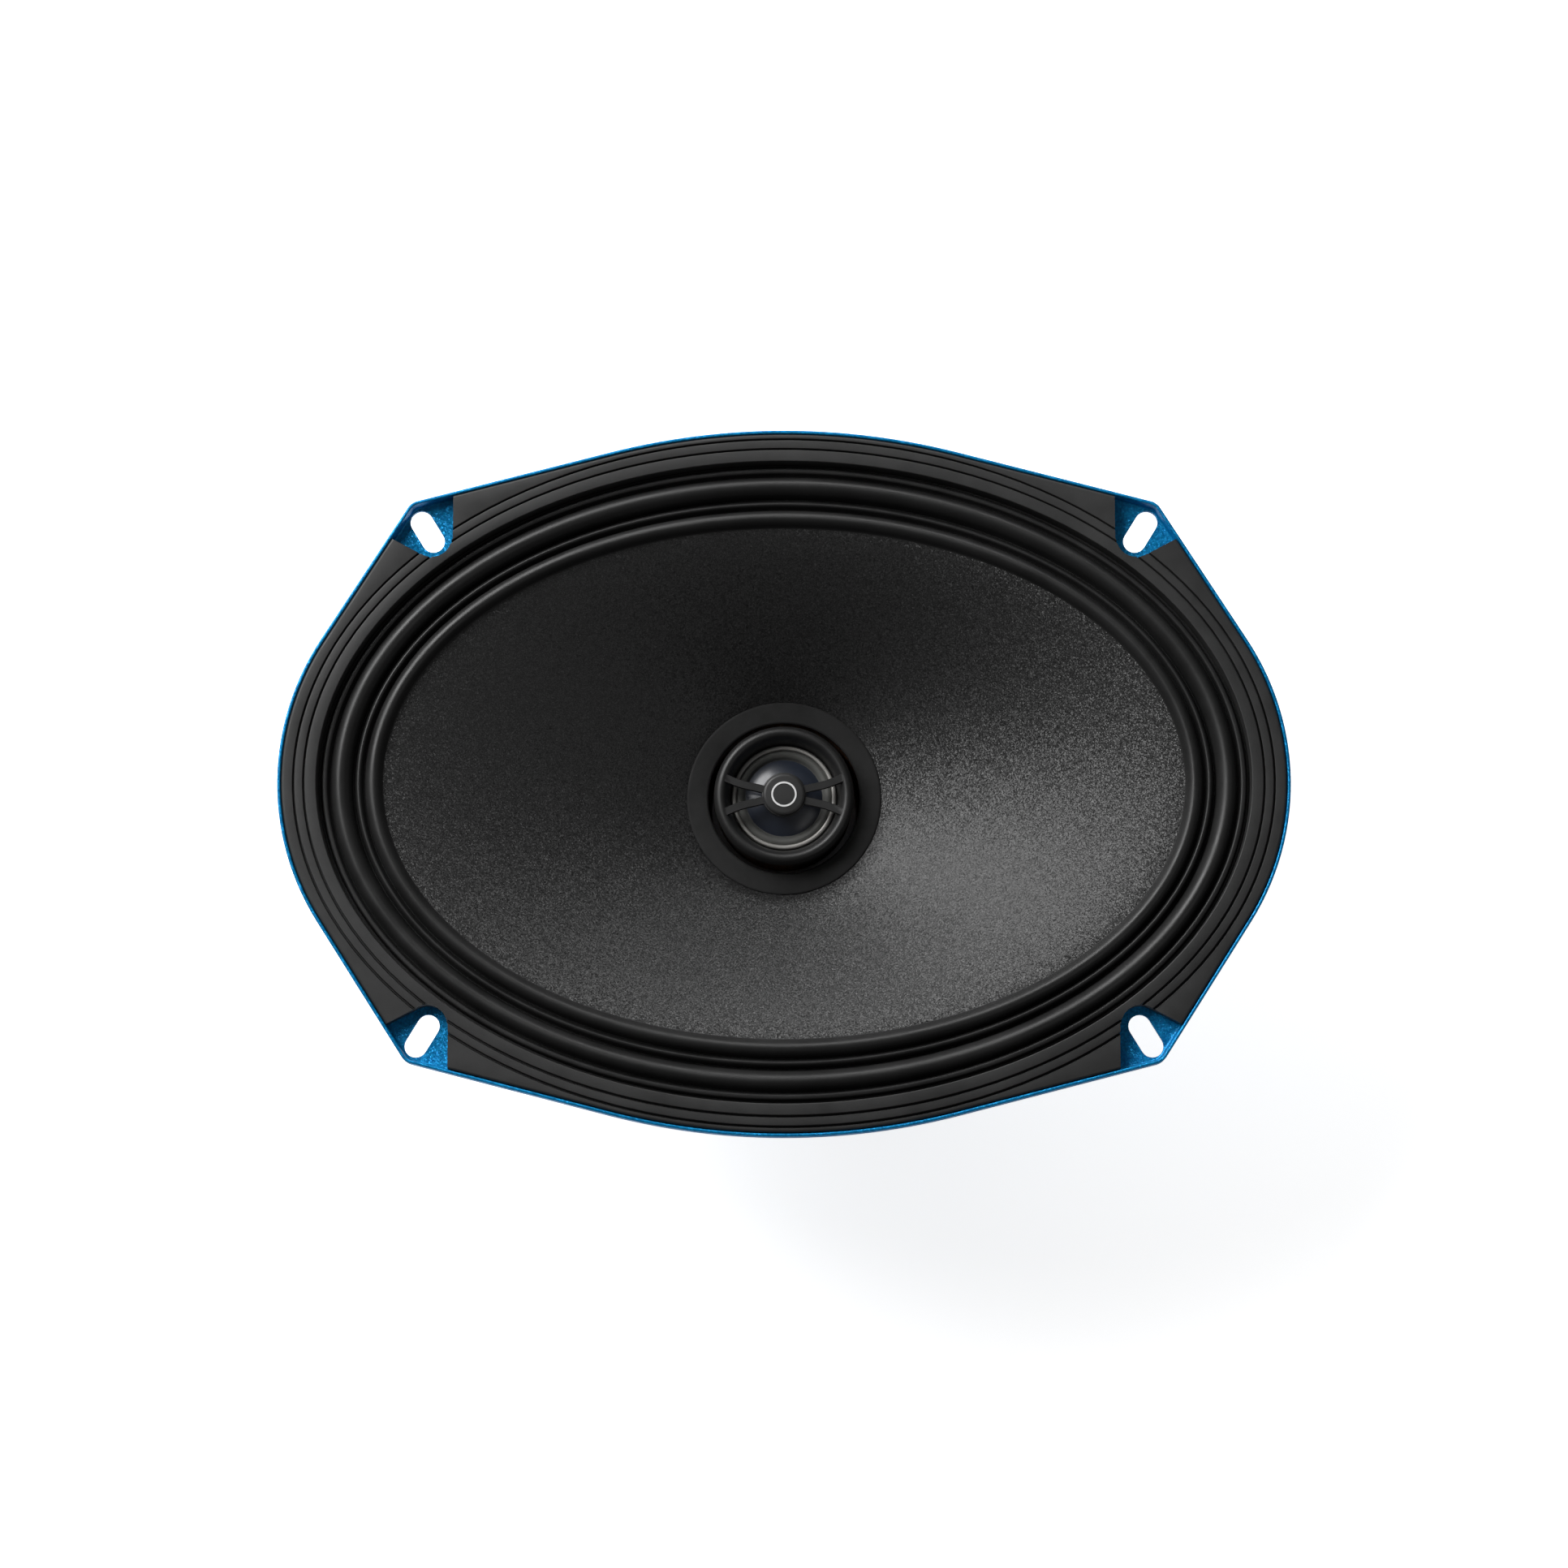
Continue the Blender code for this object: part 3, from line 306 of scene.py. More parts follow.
def revolve(profile, steps=ROUND_STEPS):
    """Spins a (radius, height) outline round +Z. A point on the axis closes the shape there."""
    verts = []
    rings = []
    for radius, height in profile:
        start = len(verts)
        if radius == 0:
            verts.append(up(height))
        else:
            turns = [2 * pi * i / steps for i in range(steps)]
            verts += [Vector((radius * cos(a), radius * sin(a), height)) for a in turns]
        rings.append(range(start, len(verts)))
    pairs = list(zip(rings, rings[1:]))
    if profile[0][0] > 0 and profile[-1][0] > 0:
        pairs.append((rings[-1], rings[0]))
    faces = []
    for first, second in pairs:
        for i in range(steps):
            j = (i + 1) % steps
            if len(first) == 1:
                faces.append((first[0], second[j], second[i]))
            elif len(second) == 1:
                faces.append((first[i], first[j], second[0]))
            else:
                faces.append((first[i], first[j], second[j], second[i]))
    return verts, faces


def rounded_profile(profile, radius):
    """A lathe profile with its corners rounded, apart from any on the axis."""
    section = [([Vector((r, 0, z))], radius if r > 0 else 0) for r, z in profile]
    loops = soften(section, closed=profile[0][0] > 0)
    return [(loop[0].x, loop[0].z) for loop in loops]


def prism(points, low, high):
    return skin([flat_loop(points, z) for z in (low, high)], closed_section=False)


def transformed(shape, matrix):
    return [matrix @ v for v in shape[0]], shape[1]


def cylinder(radius, low, high, matrix):
    return transformed(revolve(band(0, radius, low, high), 24), matrix)


def join_shapes(shapes):
    """Several separate shapes as one."""
    verts, faces = [], []
    for more_verts, more_faces in shapes:
        start = len(verts)
        verts += more_verts
        faces += [tuple(start + i for i in face) for face in more_faces]
    return verts, faces


def smooth(mesh):
    mesh.shade_smooth()
    mesh.set_sharp_from_angle(angle=SMOOTH_ANGLE)


def make_object(name, shape):
    verts, faces = shape
    mesh = bpy.data.meshes.new(name)
    mesh.from_pydata([v * MM for v in verts], [], faces)
    bm = bmesh.new()
    bm.from_mesh(mesh)
    bmesh.ops.recalc_face_normals(bm, faces=bm.faces)
    bm.to_mesh(mesh)
    bm.free()
    smooth(mesh)
    obj = bpy.data.objects.new(name, mesh)
    bpy.context.scene.collection.objects.link(obj)
    return obj


def boolean(obj, shape, operation="DIFFERENCE"):
    """Cuts the shape out of the object, or joins it on, and keeps the result as the object's mesh."""
    cutter = make_object("cutter", shape)
    modifier = obj.modifiers.new("boolean", "BOOLEAN")
    modifier.operation = operation
    modifier.object = cutter
    bpy.context.view_layer.update()
    evaluated = obj.evaluated_get(bpy.context.evaluated_depsgraph_get())
    mesh = bpy.data.meshes.new_from_object(evaluated)
    obj.modifiers.clear()
    obj.data = mesh
    bpy.data.objects.remove(cutter)
    smooth(mesh)


def finish_piece(obj, nodes, look, body="frame"):
    """Gives a piece its material, and puts it on its body in place of its CAD nodes, if any."""
    obj.data.materials.clear()
    obj.data.materials.append(look)
    if body:
        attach(obj, body)
    if nodes:
        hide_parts(*nodes)


def turned(name, profile, look, radius, steps=ROUND_STEPS, matrix=None, body="frame"):
    """A turned piece that stands for the CAD node of the same name."""
    shape = revolve(rounded_profile(profile, radius), steps)
    obj = make_object(f"{name}_visual", transformed(shape, matrix) if matrix else shape)
    finish_piece(obj, [name], look, body)
    return obj


def soft_piece(name, shape, look):
    """A piece for the CAD node of the same name, on no body, with its transform baked into its mesh."""
    obj = make_object(f"{name}_visual", shape)
    finish_piece(obj, [name], look, body=None)
    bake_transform(obj)


# ------------------------ materials


def set_inputs(node, **inputs):
    """Sets a node's inputs to values, or links them to the outputs of other nodes."""
    for key, value in inputs.items():
        socket = node.inputs[key.replace("_", " ")]
        if isinstance(value, bpy.types.NodeSocket):
            node.id_data.links.new(value, socket)
        else:
            socket.default_value = value
    return node


def add_node(tree, kind, **inputs):
    return set_inputs(tree.nodes.new("ShaderNode" + kind), **inputs)


def new_material(name):
    """A node material, its tree and its shader."""
    made = bpy.data.materials.new(name)
    made.use_nodes = True
    return made, made.node_tree, made.node_tree.nodes["Principled BSDF"]


def object_coordinates(tree):
    return add_node(tree, "TexCoord").outputs["Object"]


def noise(tree, scale, detail=2.0, stretch=(1, 1, 1)):
    """Noise, with its scale per metre. A stretch below 1 draws it out along that axis."""
    place = add_node(tree, "Mapping", Vector=object_coordinates(tree), Scale=stretch).outputs["Vector"]
    node = add_node(tree, "TexNoise", Vector=place, Scale=scale, Detail=detail, Roughness=0.6)
    return node.outputs["Fac"]


def waves(tree, scale, direction, distortion):
    """Straight bands across one axis."""
    node = add_node(tree, "TexWave", Vector=object_coordinates(tree), Scale=scale, Distortion=distortion)
    node.bands_direction = direction
    return node.outputs["Fac"]


def ramp(tree, value, low, high, low_at=0.35, high_at=0.65):
    """Maps a value to a colour between two ends."""
    node = add_node(tree, "ValToRGB", Fac=value)
    for stop, position, colour in zip(node.color_ramp.elements, (low_at, high_at), (low, high)):
        stop.position = position
        stop.color = (*colour, 1)
    return node.outputs["Color"]


def grey(value):
    return (value, value, value)


def shade(colour, share):
    return tuple(channel * share for channel in colour)


def bump(tree, height, distance, strength, below=None):
    """A normal for small heights, laid over the surface or over the normal below."""
    node = add_node(tree, "Bump", Height=height, Strength=strength, Distance=distance)
    if below:
        set_inputs(node, Normal=below)
    return node.outputs["Normal"]


def vector_math(tree, operation, *vectors, **inputs):
    node = add_node(tree, "VectorMath")
    node.operation = operation
    for socket, vector in zip(node.inputs, vectors):
        tree.links.new(vector, socket)
    return set_inputs(node, **inputs)


def flakes(tree, scale, tilt):
    """A normal that leans a different way in each tiny cell, as mica or metal flakes do."""
    cells = add_node(tree, "TexVoronoi", Vector=object_coordinates(tree), Scale=scale)
    centred = vector_math(tree, "SUBTRACT", cells.outputs["Color"])
    centred.inputs[1].default_value = grey(0.5)
    leaning = vector_math(tree, "SCALE", centred.outputs["Vector"], Scale=tilt)
    normal = add_node(tree, "NewGeometry").outputs["Normal"]
    summed = vector_math(tree, "ADD", normal, leaning.outputs["Vector"])
    return vector_math(tree, "NORMALIZE", summed.outputs["Vector"]).outputs["Vector"]


def blue_paint():
    """Metallic blue stove enamel: flakes under a thin clear coat with orange peel."""
    made, tree, shader = new_material("blue_enamel")
    set_inputs(
        shader,
        Base_Color=ramp(tree, noise(tree, 1500, 3), (0.0, 0.17, 0.43), (0.003, 0.29, 0.62)),
        Metallic=0.45,
        Specular_IOR_Level=0.25,
        Roughness=ramp(tree, noise(tree, 60, 3), grey(0.34), grey(0.46)),
        Normal=flakes(tree, 3500, 0.35),
        Coat_Weight=0.12,
        Coat_Roughness=0.22,
        Coat_Normal=bump(tree, noise(tree, 900, 2), 0.04 * MM, 0.3),
    )
    return made


def moulded(name, colour, roughness, grain_scale=2600, grain=0.02 * MM, variation=0.25, specular=0.5):
    """Moulded plastic or rubber: fine grain, slow changes of tone and gloss."""
    made, tree, shader = new_material(name)
    dark, light = shade(colour, 1 - variation), shade(colour, 1 + variation)
    set_inputs(
        shader,
        Base_Color=ramp(tree, noise(tree, 45, 5), dark, light),
        Specular_IOR_Level=specular,
        Roughness=ramp(tree, noise(tree, 160, 4), grey(roughness * 0.9), grey(roughness * 1.12)),
        Normal=bump(tree, noise(tree, grain_scale, 3), grain, 0.6),
    )
    return made


def mica_cone():
    """Black mica-filled polypropylene: tiny flakes that glint, over a fine pebble grain."""
    made, tree, shader = new_material("mica_cone")
    set_inputs(
        shader,
        Base_Color=ramp(tree, noise(tree, 4500, 1), grey(0.008), grey(0.046), 0.45, 0.75),
        Specular_IOR_Level=0.55,
        Roughness=ramp(tree, noise(tree, 2600, 2), grey(0.40), grey(0.5)),
        Normal=bump(tree, noise(tree, 3200, 2), 0.012 * MM, 0.5, below=flakes(tree, 4200, 0.5)),
    )
    return made


def metal(name, colour, roughness, spin=False):
    """Plated or machined metal, with turning marks round Z or brushed marks along Y."""
    made, tree, shader = new_material(name)
    scratch = 0.008 * MM
    if spin:
        place = object_coordinates(tree)
        rings = add_node(tree, "TexWave", Vector=place, Scale=180, Distortion=1.0, Detail=3.0)
        rings.wave_type = "RINGS"
        rings.rings_direction = "Z"
        turned_face = bump(tree, rings.outputs["Fac"], scratch, 0.5)
        marks = bump(tree, noise(tree, 2500, 3, (0.05, 0.05, 1)), scratch, 0.5, below=turned_face)
    else:
        marks = bump(tree, noise(tree, 1500, 3, (1, 0.12, 0.12)), scratch, 0.5)
    set_inputs(
        shader,
        Base_Color=ramp(tree, noise(tree, 35, 5), shade(colour, 0.9), colour, 0.3, 0.7),
        Metallic=1.0,
        Roughness=ramp(tree, noise(tree, 60, 6), grey(roughness * 0.9), grey(roughness * 1.2)),
        Normal=marks,
    )
    return made


def wound(name, colour, scale):
    """Wire that runs round Z, one turn above the other, with painted shade between the turns."""
    made, tree, shader = new_material(name)
    lines = waves(tree, scale, "Z", 0.4)
    set_inputs(
        shader,
        # Painted shade: the colour darkens to a third in the grooves between the turns.
        Base_Color=ramp(tree, lines, shade(colour, 0.35), colour, 0.1, 0.6),
        Metallic=1.0,
        Roughness=0.32,
        Normal=bump(tree, lines, 0.08 * MM, 0.7),
    )
    return made


def woven(name, colour, scale, roughness=0.85):
    """Woven cloth: two crossed sets of threads, with painted shade in the gaps between them and a fibre
    noise over them.
    """
    made, tree, shader = new_material(name)
    weave = add_node(tree, "Math")
    weave.operation = "MAXIMUM"
    for socket, direction in zip(weave.inputs, "XY"):
        tree.links.new(waves(tree, scale, direction, 0.6), socket)
    threads = weave.outputs["Value"]
    thread_face = bump(tree, threads, 0.12 * MM, 0.8)
    set_inputs(
        shader,
        # Painted shade: the colour darkens to under half in the gaps between the threads.
        Base_Color=ramp(tree, threads, shade(colour, 0.45), colour, 0.3, 0.9),
        Roughness=roughness,
        Normal=bump(tree, noise(tree, 4000, 4), 0.02 * MM, 0.5, below=thread_face),
    )
    return made


def dome_film():
    """A dark navy satin film, with a painted sheen: its colour turns lighter and bluer at grazing angles.
    """
    made, tree, shader = new_material("dome_film")
    grazing_sheen = add_node(tree, "LayerWeight", Blend=0.4).outputs["Facing"]
    set_inputs(
        shader,
        # Painted sheen: the base colour lightens from dark navy to a greyer blue as the surface turns away
        # from the camera.
        Base_Color=ramp(tree, grazing_sheen, (0.018, 0.023, 0.036), (0.052, 0.064, 0.095), 0.1, 0.8),
        Roughness=ramp(tree, noise(tree, 500, 3), grey(0.3), grey(0.38)),
        Coat_Weight=0.6,
        Coat_Roughness=0.22,
        Normal=bump(tree, noise(tree, 260, 2), 0.03 * MM, 0.25),
    )
    return made


def amber_film():
    made, tree, shader = new_material("amber_film")
    set_inputs(
        shader,
        Base_Color=ramp(tree, noise(tree, 90, 4), (0.16, 0.05, 0.008), (0.30, 0.11, 0.02)),
        Roughness=0.3,
        Coat_Weight=0.5,
        Normal=bump(tree, noise(tree, 800, 2), 0.02 * MM, 0.3),
    )
    return made


def ferrite():
    """Sintered ferrite: dark grey, pitted, with a ground sheen."""
    made, tree, shader = new_material("ferrite")
    set_inputs(
        shader,
        Base_Color=ramp(tree, noise(tree, 1400, 6), grey(0.026), grey(0.045)),
        Roughness=ramp(tree, noise(tree, 900, 3), grey(0.5), grey(0.66)),
        Normal=bump(tree, noise(tree, 1800, 6), 0.03 * MM, 0.6),
    )
    return made


def phenolic():
    """Pressed paper board: brown, with fibres that lie along X."""
    made, tree, shader = new_material("phenolic_board")
    fibres = noise(tree, 900, 6, (0.15, 1, 1))
    set_inputs(
        shader,
        Base_Color=ramp(tree, fibres, (0.055, 0.024, 0.010), (0.15, 0.07, 0.03)),
        Roughness=0.48,
        Normal=bump(tree, fibres, 0.03 * MM, 0.5),
    )
    return made


# ------------------------ basket and gasket


def board_matrix():
    """Local X along the row's X, Y up the sloping wall and Z out of it, from the middle of the wall."""
    low = Vector((0, -(CUP_R + 1.6), FLANGE_Z + SHELF_Z - 0.1))
    high = Vector((0, -(RIM_B + BAND_OFFSET + 1.3), FLANGE_Z + BAND_Z - 0.5))
    along = (high - low).normalized()
    across = Vector((1, 0, 0))
    rows = Matrix((across, along, across.cross(along))).transposed()
    return Matrix.Translation((low + high) / 2) @ rows.to_4x4()


BOARD = board_matrix()


def on_board(x, y):
    return BOARD @ Matrix.Translation((x, y, 0))


def at_eyelet(x):
    return on_board(x, -EYELET_DROP)


def screw_axis(name, z):
    """The place on a plate screw's axis at the given height."""
    low, high = box(name)
    return Matrix.Translation((*((low + high) / 2).xy, z))


def window_shape(azimuth, half_angle):
    """A rounded window, pulled through the wall from inside to outside."""
    width = 2 * radians(half_angle) * WINDOW_MIDDLE_R
    points = rounded_rectangle(width, WINDOW_HIGH - WINDOW_LOW, WINDOW_CORNER, 6)
    middle_z = FLANGE_Z + (WINDOW_HIGH + WINDOW_LOW) / 2
    turned_points = [(radians(azimuth) + x / WINDOW_MIDDLE_R, middle_z + y) for x, y in points]
    loops = [
        [Vector((radius * cos(turn), radius * sin(turn), z)) for turn, z in turned_points]
        for radius in (WINDOW_INNER_R, WINDOW_OUTER_R)
    ]
    return skin(loops, closed_section=False)


def slot_shapes():
    shapes = []
    for sx, sy in CORNERS:
        angle = SLOT_ANGLE if sx * sy > 0 else pi - SLOT_ANGLE
        points = slot_outline((sx * SLOT_X, sy * SLOT_Y), angle)
        shapes.append(prism(points, FLANGE_Z - 2 * SHEET, FLANGE_Z + 2 * SHEET))
    return shapes


def make_basket(look):
    """The stamped frame: rolled lip, flange, sloping wall with windows, spider shelf and magnet cup."""
    section = [
        (edge_loop(0, LIP_HEIGHT), 0.35),
        (edge_loop(0.75, LIP_HEIGHT), 0.3),
        (edge_loop(0.95, SHEET), 0.6),
        (oval_loop(11.6, SHEET), 0.8),
        (oval_loop(10.4, 0.2), 1.5),
        (oval_loop(BAND_OFFSET, BAND_Z), 3.0),
        (circle_loop(CUP_R, SHELF_Z + 1.5), 1.0),
        (circle_loop(CUP_R - 0.8, SHELF_Z), 0.5),
        (circle_loop(SHELF_INNER_R, SHELF_Z), 0.8),
        (circle_loop(SHELF_INNER_R - 0.6, CUP_FLOOR_Z), 1.2),
        (circle_loop(CUP_HOLE_R, CUP_FLOOR_Z), 0.2),
        (circle_loop(CUP_HOLE_R, CUP_FLOOR_Z - SHEET), 0.2),
        (circle_loop(SHELF_INNER_R + 0.8, CUP_FLOOR_Z - SHEET), 1.4),
        (circle_loop(SHELF_INNER_R + 1.3, SHELF_Z - SHEET), 0.8),
        (circle_loop(CUP_R + 0.6, SHELF_Z - SHEET), 0.8),
        (circle_loop(CUP_R + 1.6, SHELF_Z - 0.1), 1.2),
        (oval_loop(BAND_OFFSET + 1.3, BAND_Z - 0.5), 3.0),
        (oval_loop(11.6, -1.4), 1.5),
        (oval_loop(12.8, 0), 0.8),
        (edge_loop(0, 0), 0.8),
    ]
    basket = make_object("basket_visual", skin(soften(section)))
    cuts = slot_shapes() + [window_shape(azimuth, half) for azimuth, half in WINDOWS]
    for name in SCREWS:
        middle = screw_axis(name, FLANGE_Z + CUP_FLOOR_Z)
        cuts.append(cylinder(SCREW_HOLE_R, -3 * SHEET, 2 * SHEET, middle))
    cuts.append(cylinder(RIVET_HOLE_R, -6, 6, BOARD))
    cuts += [cylinder(EYELET_CLEARANCE_R, -6, 6, at_eyelet(x)) for x in (TAB_X, -TAB_X)]
    boolean(basket, join_shapes(cuts))
    finish_piece(basket, ["basket"], look)


def pocket_outline():
    """The gasket's corner opening in the first quadrant: past the corner, round the slot's inner end."""
    reach = (SLOT_LENGTH - SLOT_WIDTH) / 2
    inner_end = (SLOT_X - reach * cos(SLOT_ANGLE), SLOT_Y - reach * sin(SLOT_ANGLE))
    radius = SLOT_WIDTH / 2 + POCKET_WALL
    rounded = arc(inner_end, radius, pi, 2 * pi + POCKET_LOW_NORMAL, 14)
    low_x, low_y = rounded[-1]
    finish_y = low_y - (HALF_LENGTH - low_x) / tan(POCKET_LOW_NORMAL)
    top = HALF_WIDTH + 1
    side = [(POCKET_SIDE_X, top), (POCKET_SIDE_X, rounded[0][1])]
    return side + rounded[1:] + [(HALF_LENGTH, finish_y), (HALF_LENGTH, top)]


def make_gasket(look):
    """A stepped ring with two fine oval grooves, and a pocket round each slot."""
    bottom = SHEET + 0.02
    top = box("front_gasket")[1].z - FLANGE_Z
    step = 0.4
    middle, low = top - step, top - 2 * step
    groove_depth = 0.9
    half_mouth, half_root = 0.28, 0.1
    section = [
        (edge_loop(1.0, bottom), 0),
        (edge_loop(0.95, low - 0.4), 0.2),
        (edge_loop(1.3, low), 0.3),
    ]
    for groove, outer, inner in ((20.3, low, middle), (17.9, middle, top)):
        section += [
            (oval_loop(groove + half_mouth, outer), 0.12),
            (oval_loop(groove + half_root, outer - groove_depth), 0),
            (oval_loop(groove - half_root, outer - groove_depth), 0),
            (oval_loop(groove - half_mouth, inner), 0.15),
        ]
    section += [
        (oval_loop(15.0, top), 0.22),
        (oval_loop(14.8, 2.2), 0),
        (oval_loop(14.8, bottom), 0),
    ]
    gasket = make_object("front_gasket_visual", skin(soften(section)))
    pockets = [[(sx * x, sy * y) for x, y in pocket_outline()] for sx, sy in CORNERS]
    boolean(gasket, join_shapes([prism(points, FLANGE_Z, FLANGE_Z + top + 1) for points in pockets]))
    finish_piece(gasket, ["front_gasket"], look)


# ------------------------ soft suspension


def make_surround(look):
    """Two rolls with a low rib between them, as (distance outside the rim, height above the flange)."""
    ledge = [(15.2, 1.4), (14.25, 1.4), (14.05, 2.2), (13.85, 3.05), (13.5, 3.3), (12.9, 3.3), (12.6, 3.0)]
    outer_roll = [(12.4, 2.2), (12.1, 1.7), (11.8, 2.2), (11.3, 3.6), (10.6, 4.6), (9.6, 5.05), (8.5, 4.6)]
    valley = [(7.6, 3.3), (7.15, 1.6), (6.8, 0.5), (6.45, 0.8)]
    rib = [(6.15, 2.0), (5.8, 2.7), (5.35, 2.9), (4.95, 2.6), (4.65, 1.7), (4.3, 1.0)]
    inner_roll = [(4.0, 1.5), (3.6, 2.9), (2.9, 4.0), (1.9, 4.4), (1.1, 4.0), (0.45, 3.1)]
    glued_edge = [(0.0, 2.0), (-0.6, 1.5), (-2.6, 0.6)]
    top = smooth_line(ledge + outer_roll + valley + rib + inner_roll + glued_edge, 3)
    thickness = 0.55
    glued_from, flange_top = 11.9, 1.22
    under = [(d, flange_top if d > glued_from else z - thickness) for d, z in reversed(top)]
    section = top + under
    shape = skin([oval_loop(d, z) for d, z in section])
    soft_piece("surround", shape, look)


def make_spider(look):
    """Corrugated cloth, clamped at the shelf, with its inner edge glued to the former."""
    low, high = box("spider")
    outer = high.x
    inner = box("voice_coil_former")[1].x + 0.05
    edge = outer - 4.5
    thickness = 0.4
    base = low.z + thickness
    middle = base + 1.4
    folds, fold_height = 5, 1.0
    steps = folds * 12
    line = [(outer, base), (edge, base)]
    for i in range(steps + 1):
        share = i / steps
        radius = edge - 1.2 - share * (edge - inner - 3.2)
        line.append((radius, middle + fold_height * sin(2 * pi * folds * share)))
    line.append((inner, middle))
    section = line + [(r, z - thickness) for r, z in reversed(line)]
    soft_piece("spider", revolve(section), look)


def make_cone(look):
    """The oval cone: a smooth flare from the dust ring to the rim, and a collar on the former."""
    ring_low = box("dust_ring")[0].z - FLANGE_Z
    ring_r = box("dust_ring")[1].x
    start = ring_low + 0.6
    rise = box("cone")[1].z - FLANGE_Z - start
    former_r = box("voice_coil_former")[1].x + 0.05
    thickness = 0.7
    flare = 1.25
    steps = 40

    def cone_loop(share, drop):
        half_x = ring_r + (RIM_A + 0.1 - ring_r) * share
        half_y = ring_r + (RIM_B + 0.1 - ring_r) * share
        return ellipse_loop(half_x, half_y, start + rise * (1 - (1 - share) ** flare) - drop)

    collar = [
        (ring_r, 0.05),
        (former_r + 1.4, 0.5),
        (former_r + 0.5, 1.2),
        (former_r, 2.6),
        (former_r, 5.2),
        (former_r + 0.9, 5.2),
        (former_r + 1.6, 3.0),
        (former_r + 2.9, 1.4),
    ]
    shares = [1 - i / steps for i in range(steps + 1)]
    loops = [cone_loop(share, 0) for share in shares]
    loops += [circle_loop(radius, ring_low - drop) for radius, drop in collar]
    loops += [cone_loop(share, thickness) for share in reversed(shares) if share > 0.03]
    cone = make_object("cone_visual", skin(loops))
    finish_piece(cone, ["cone"], look, "cone_assembly")


def make_dust_ring(look):
    low, high = box("dust_ring")
    hole = 18.0
    sides = [(hole, low.z), (high.x, low.z), (high.x, high.z - 0.1)]
    face = [(high.x - 0.5, high.z), (hole + 0.4, high.z), (hole, high.z - 0.25)]
    turned("dust_ring", sides + face, look, 0.15, body="cone_assembly")


def make_voice_coil(film, copper):
    low, high = box("voice_coil_former")
    former_r = high.x
    profile = band(former_r - 0.35, former_r, low.z, high.z)
    turned("voice_coil_former", profile, film, 0.08, body="cone_assembly")
    low, high = box("voice_coil_winding")
    profile = band(former_r + 0.02, high.x, low.z, high.z)
    turned("voice_coil_winding", profile, copper, 0.15, body="cone_assembly")


# ------------------------ magnet system


def make_front_plate(steel):
    low, high = box("front_plate")
    plate = turned("front_plate", band(21.0, high.x, low.z, high.z), steel, 0.8)
    holes = [cylinder(SCREW_HOLE_R, -4.6, 2, screw_axis(name, high.z)) for name in SCREWS]
    boolean(plate, join_shapes(holes))


def make_magnet(stone):
    low, high = box("ferrite_magnet")
    profile = band(26.0, high.x, low.z - 0.25, high.z + 0.25)
    turned("ferrite_magnet", profile, stone, 1.3)


def make_yoke(steel):
    """The back plate and the bored pole piece, with a groove for the tweeter's wires."""
    low, high = box("yoke")
    bore = 4.2
    pole_r = 18.2
    plate_top = low.z + 6.0
    plate = [(bore, low.z), (high.x, low.z), (high.x, plate_top)]
    pole = [(pole_r, plate_top), (pole_r, high.z), (bore, high.z)]
    yoke = turned("yoke", plate + pole, steel, 0.9)
    groove = band(-GROOVE_WIDTH / 2, GROOVE_WIDTH / 2, -high.x - 1, 0)
    boolean(yoke, prism(groove, low.z - 1, low.z + GROOVE_DEPTH))


def cross_recess(radius, depth, top, matrix):
    """A cross-shaped driver recess."""
    arm = radius * 0.28
    points = []
    for quarter in range(4):
        turn = Matrix.Rotation(quarter * pi / 2, 2)
        points += [tuple(turn @ Vector(corner)) for corner in ((arm, arm), (arm, radius), (-arm, radius))]
    return transformed(prism(points, top - depth, top + 1), matrix)


def make_plate_screws(steel):
    for name in SCREWS:
        low, high = box(name)
        shank_r, head_r = 2.0, 4.0
        head_low = high.z - 2.4
        shank = [(0, low.z), (1.6, low.z), (shank_r, low.z + 0.5), (shank_r, head_low)]
        head = raised(head_low, (head_r, 0), (head_r, 0.9), (3.2, 1.9), (1.8, 2.3), (0, 2.4))
        at = screw_axis(name, 0)
        screw = turned(name, shank + head, steel, 0.2, 40, at)
        boolean(screw, cross_recess(1.9, 1.2, high.z, at))


# ------------------------ tweeter


def make_tweeter_post(plastic):
    """The hollow stem in the pole's bore, with a foot on the pole and a seat for the housing."""
    low, high = box("tweeter_post")
    foot = low.z + 12
    stem = [(TWEETER_BORE, low.z), *raised(foot, (3.9, -12), (3.9, 0.1))]
    flange = raised(foot, (9.0, 0.1), (9.0, 1.8), (6.5, 2.6))
    seat = raised(high.z, (6.5, 0.2), (TWEETER_BORE, 0.2))
    turned("tweeter_post", stem + flange + seat, plastic, 0.4, MEDIUM_STEPS)


def make_tweeter_housing(plastic):
    low, high = box("tweeter_housing")
    outer = high.x
    inner = outer - 1.3
    outside = [(TWEETER_BORE, low.z), (outer - 3.5, low.z), (outer, low.z + 4), (outer, high.z)]
    inside = [(inner, high.z), *raised(low.z, (inner, 4.6), (inner - 2.8, 1.5), (TWEETER_BORE, 1.5))]
    turned("tweeter_housing", outside + inside, plastic, 0.5)


def make_tweeter_motor(plastic, steel, nickel):
    """The tweeter's cup, magnet and pole plate, and the ring that carries its diaphragm."""
    low, high = box("tweeter_yoke")
    wall_r = high.x - 1.8
    floor_z = low.z + 1.7
    outside = [(0, low.z), (high.x, low.z), (high.x, high.z)]
    inside = [(wall_r, high.z), (wall_r, floor_z), (0, floor_z)]
    turned("tweeter_yoke", outside + inside, steel, 0.5, MEDIUM_STEPS)
    for name, bore, look, slot in (
        ("tweeter_magnet", 0, nickel, "nickel_magnet"),
        ("tweeter_pole_plate", 0, steel, "zinc_steel"),
        ("diaphragm_ring", 10.8, plastic, "tweeter_plastic"),
    ):
        low, high = box(name)
        turned(name, band(bore, high.x, low.z, high.z), look, 0.3, MEDIUM_STEPS)


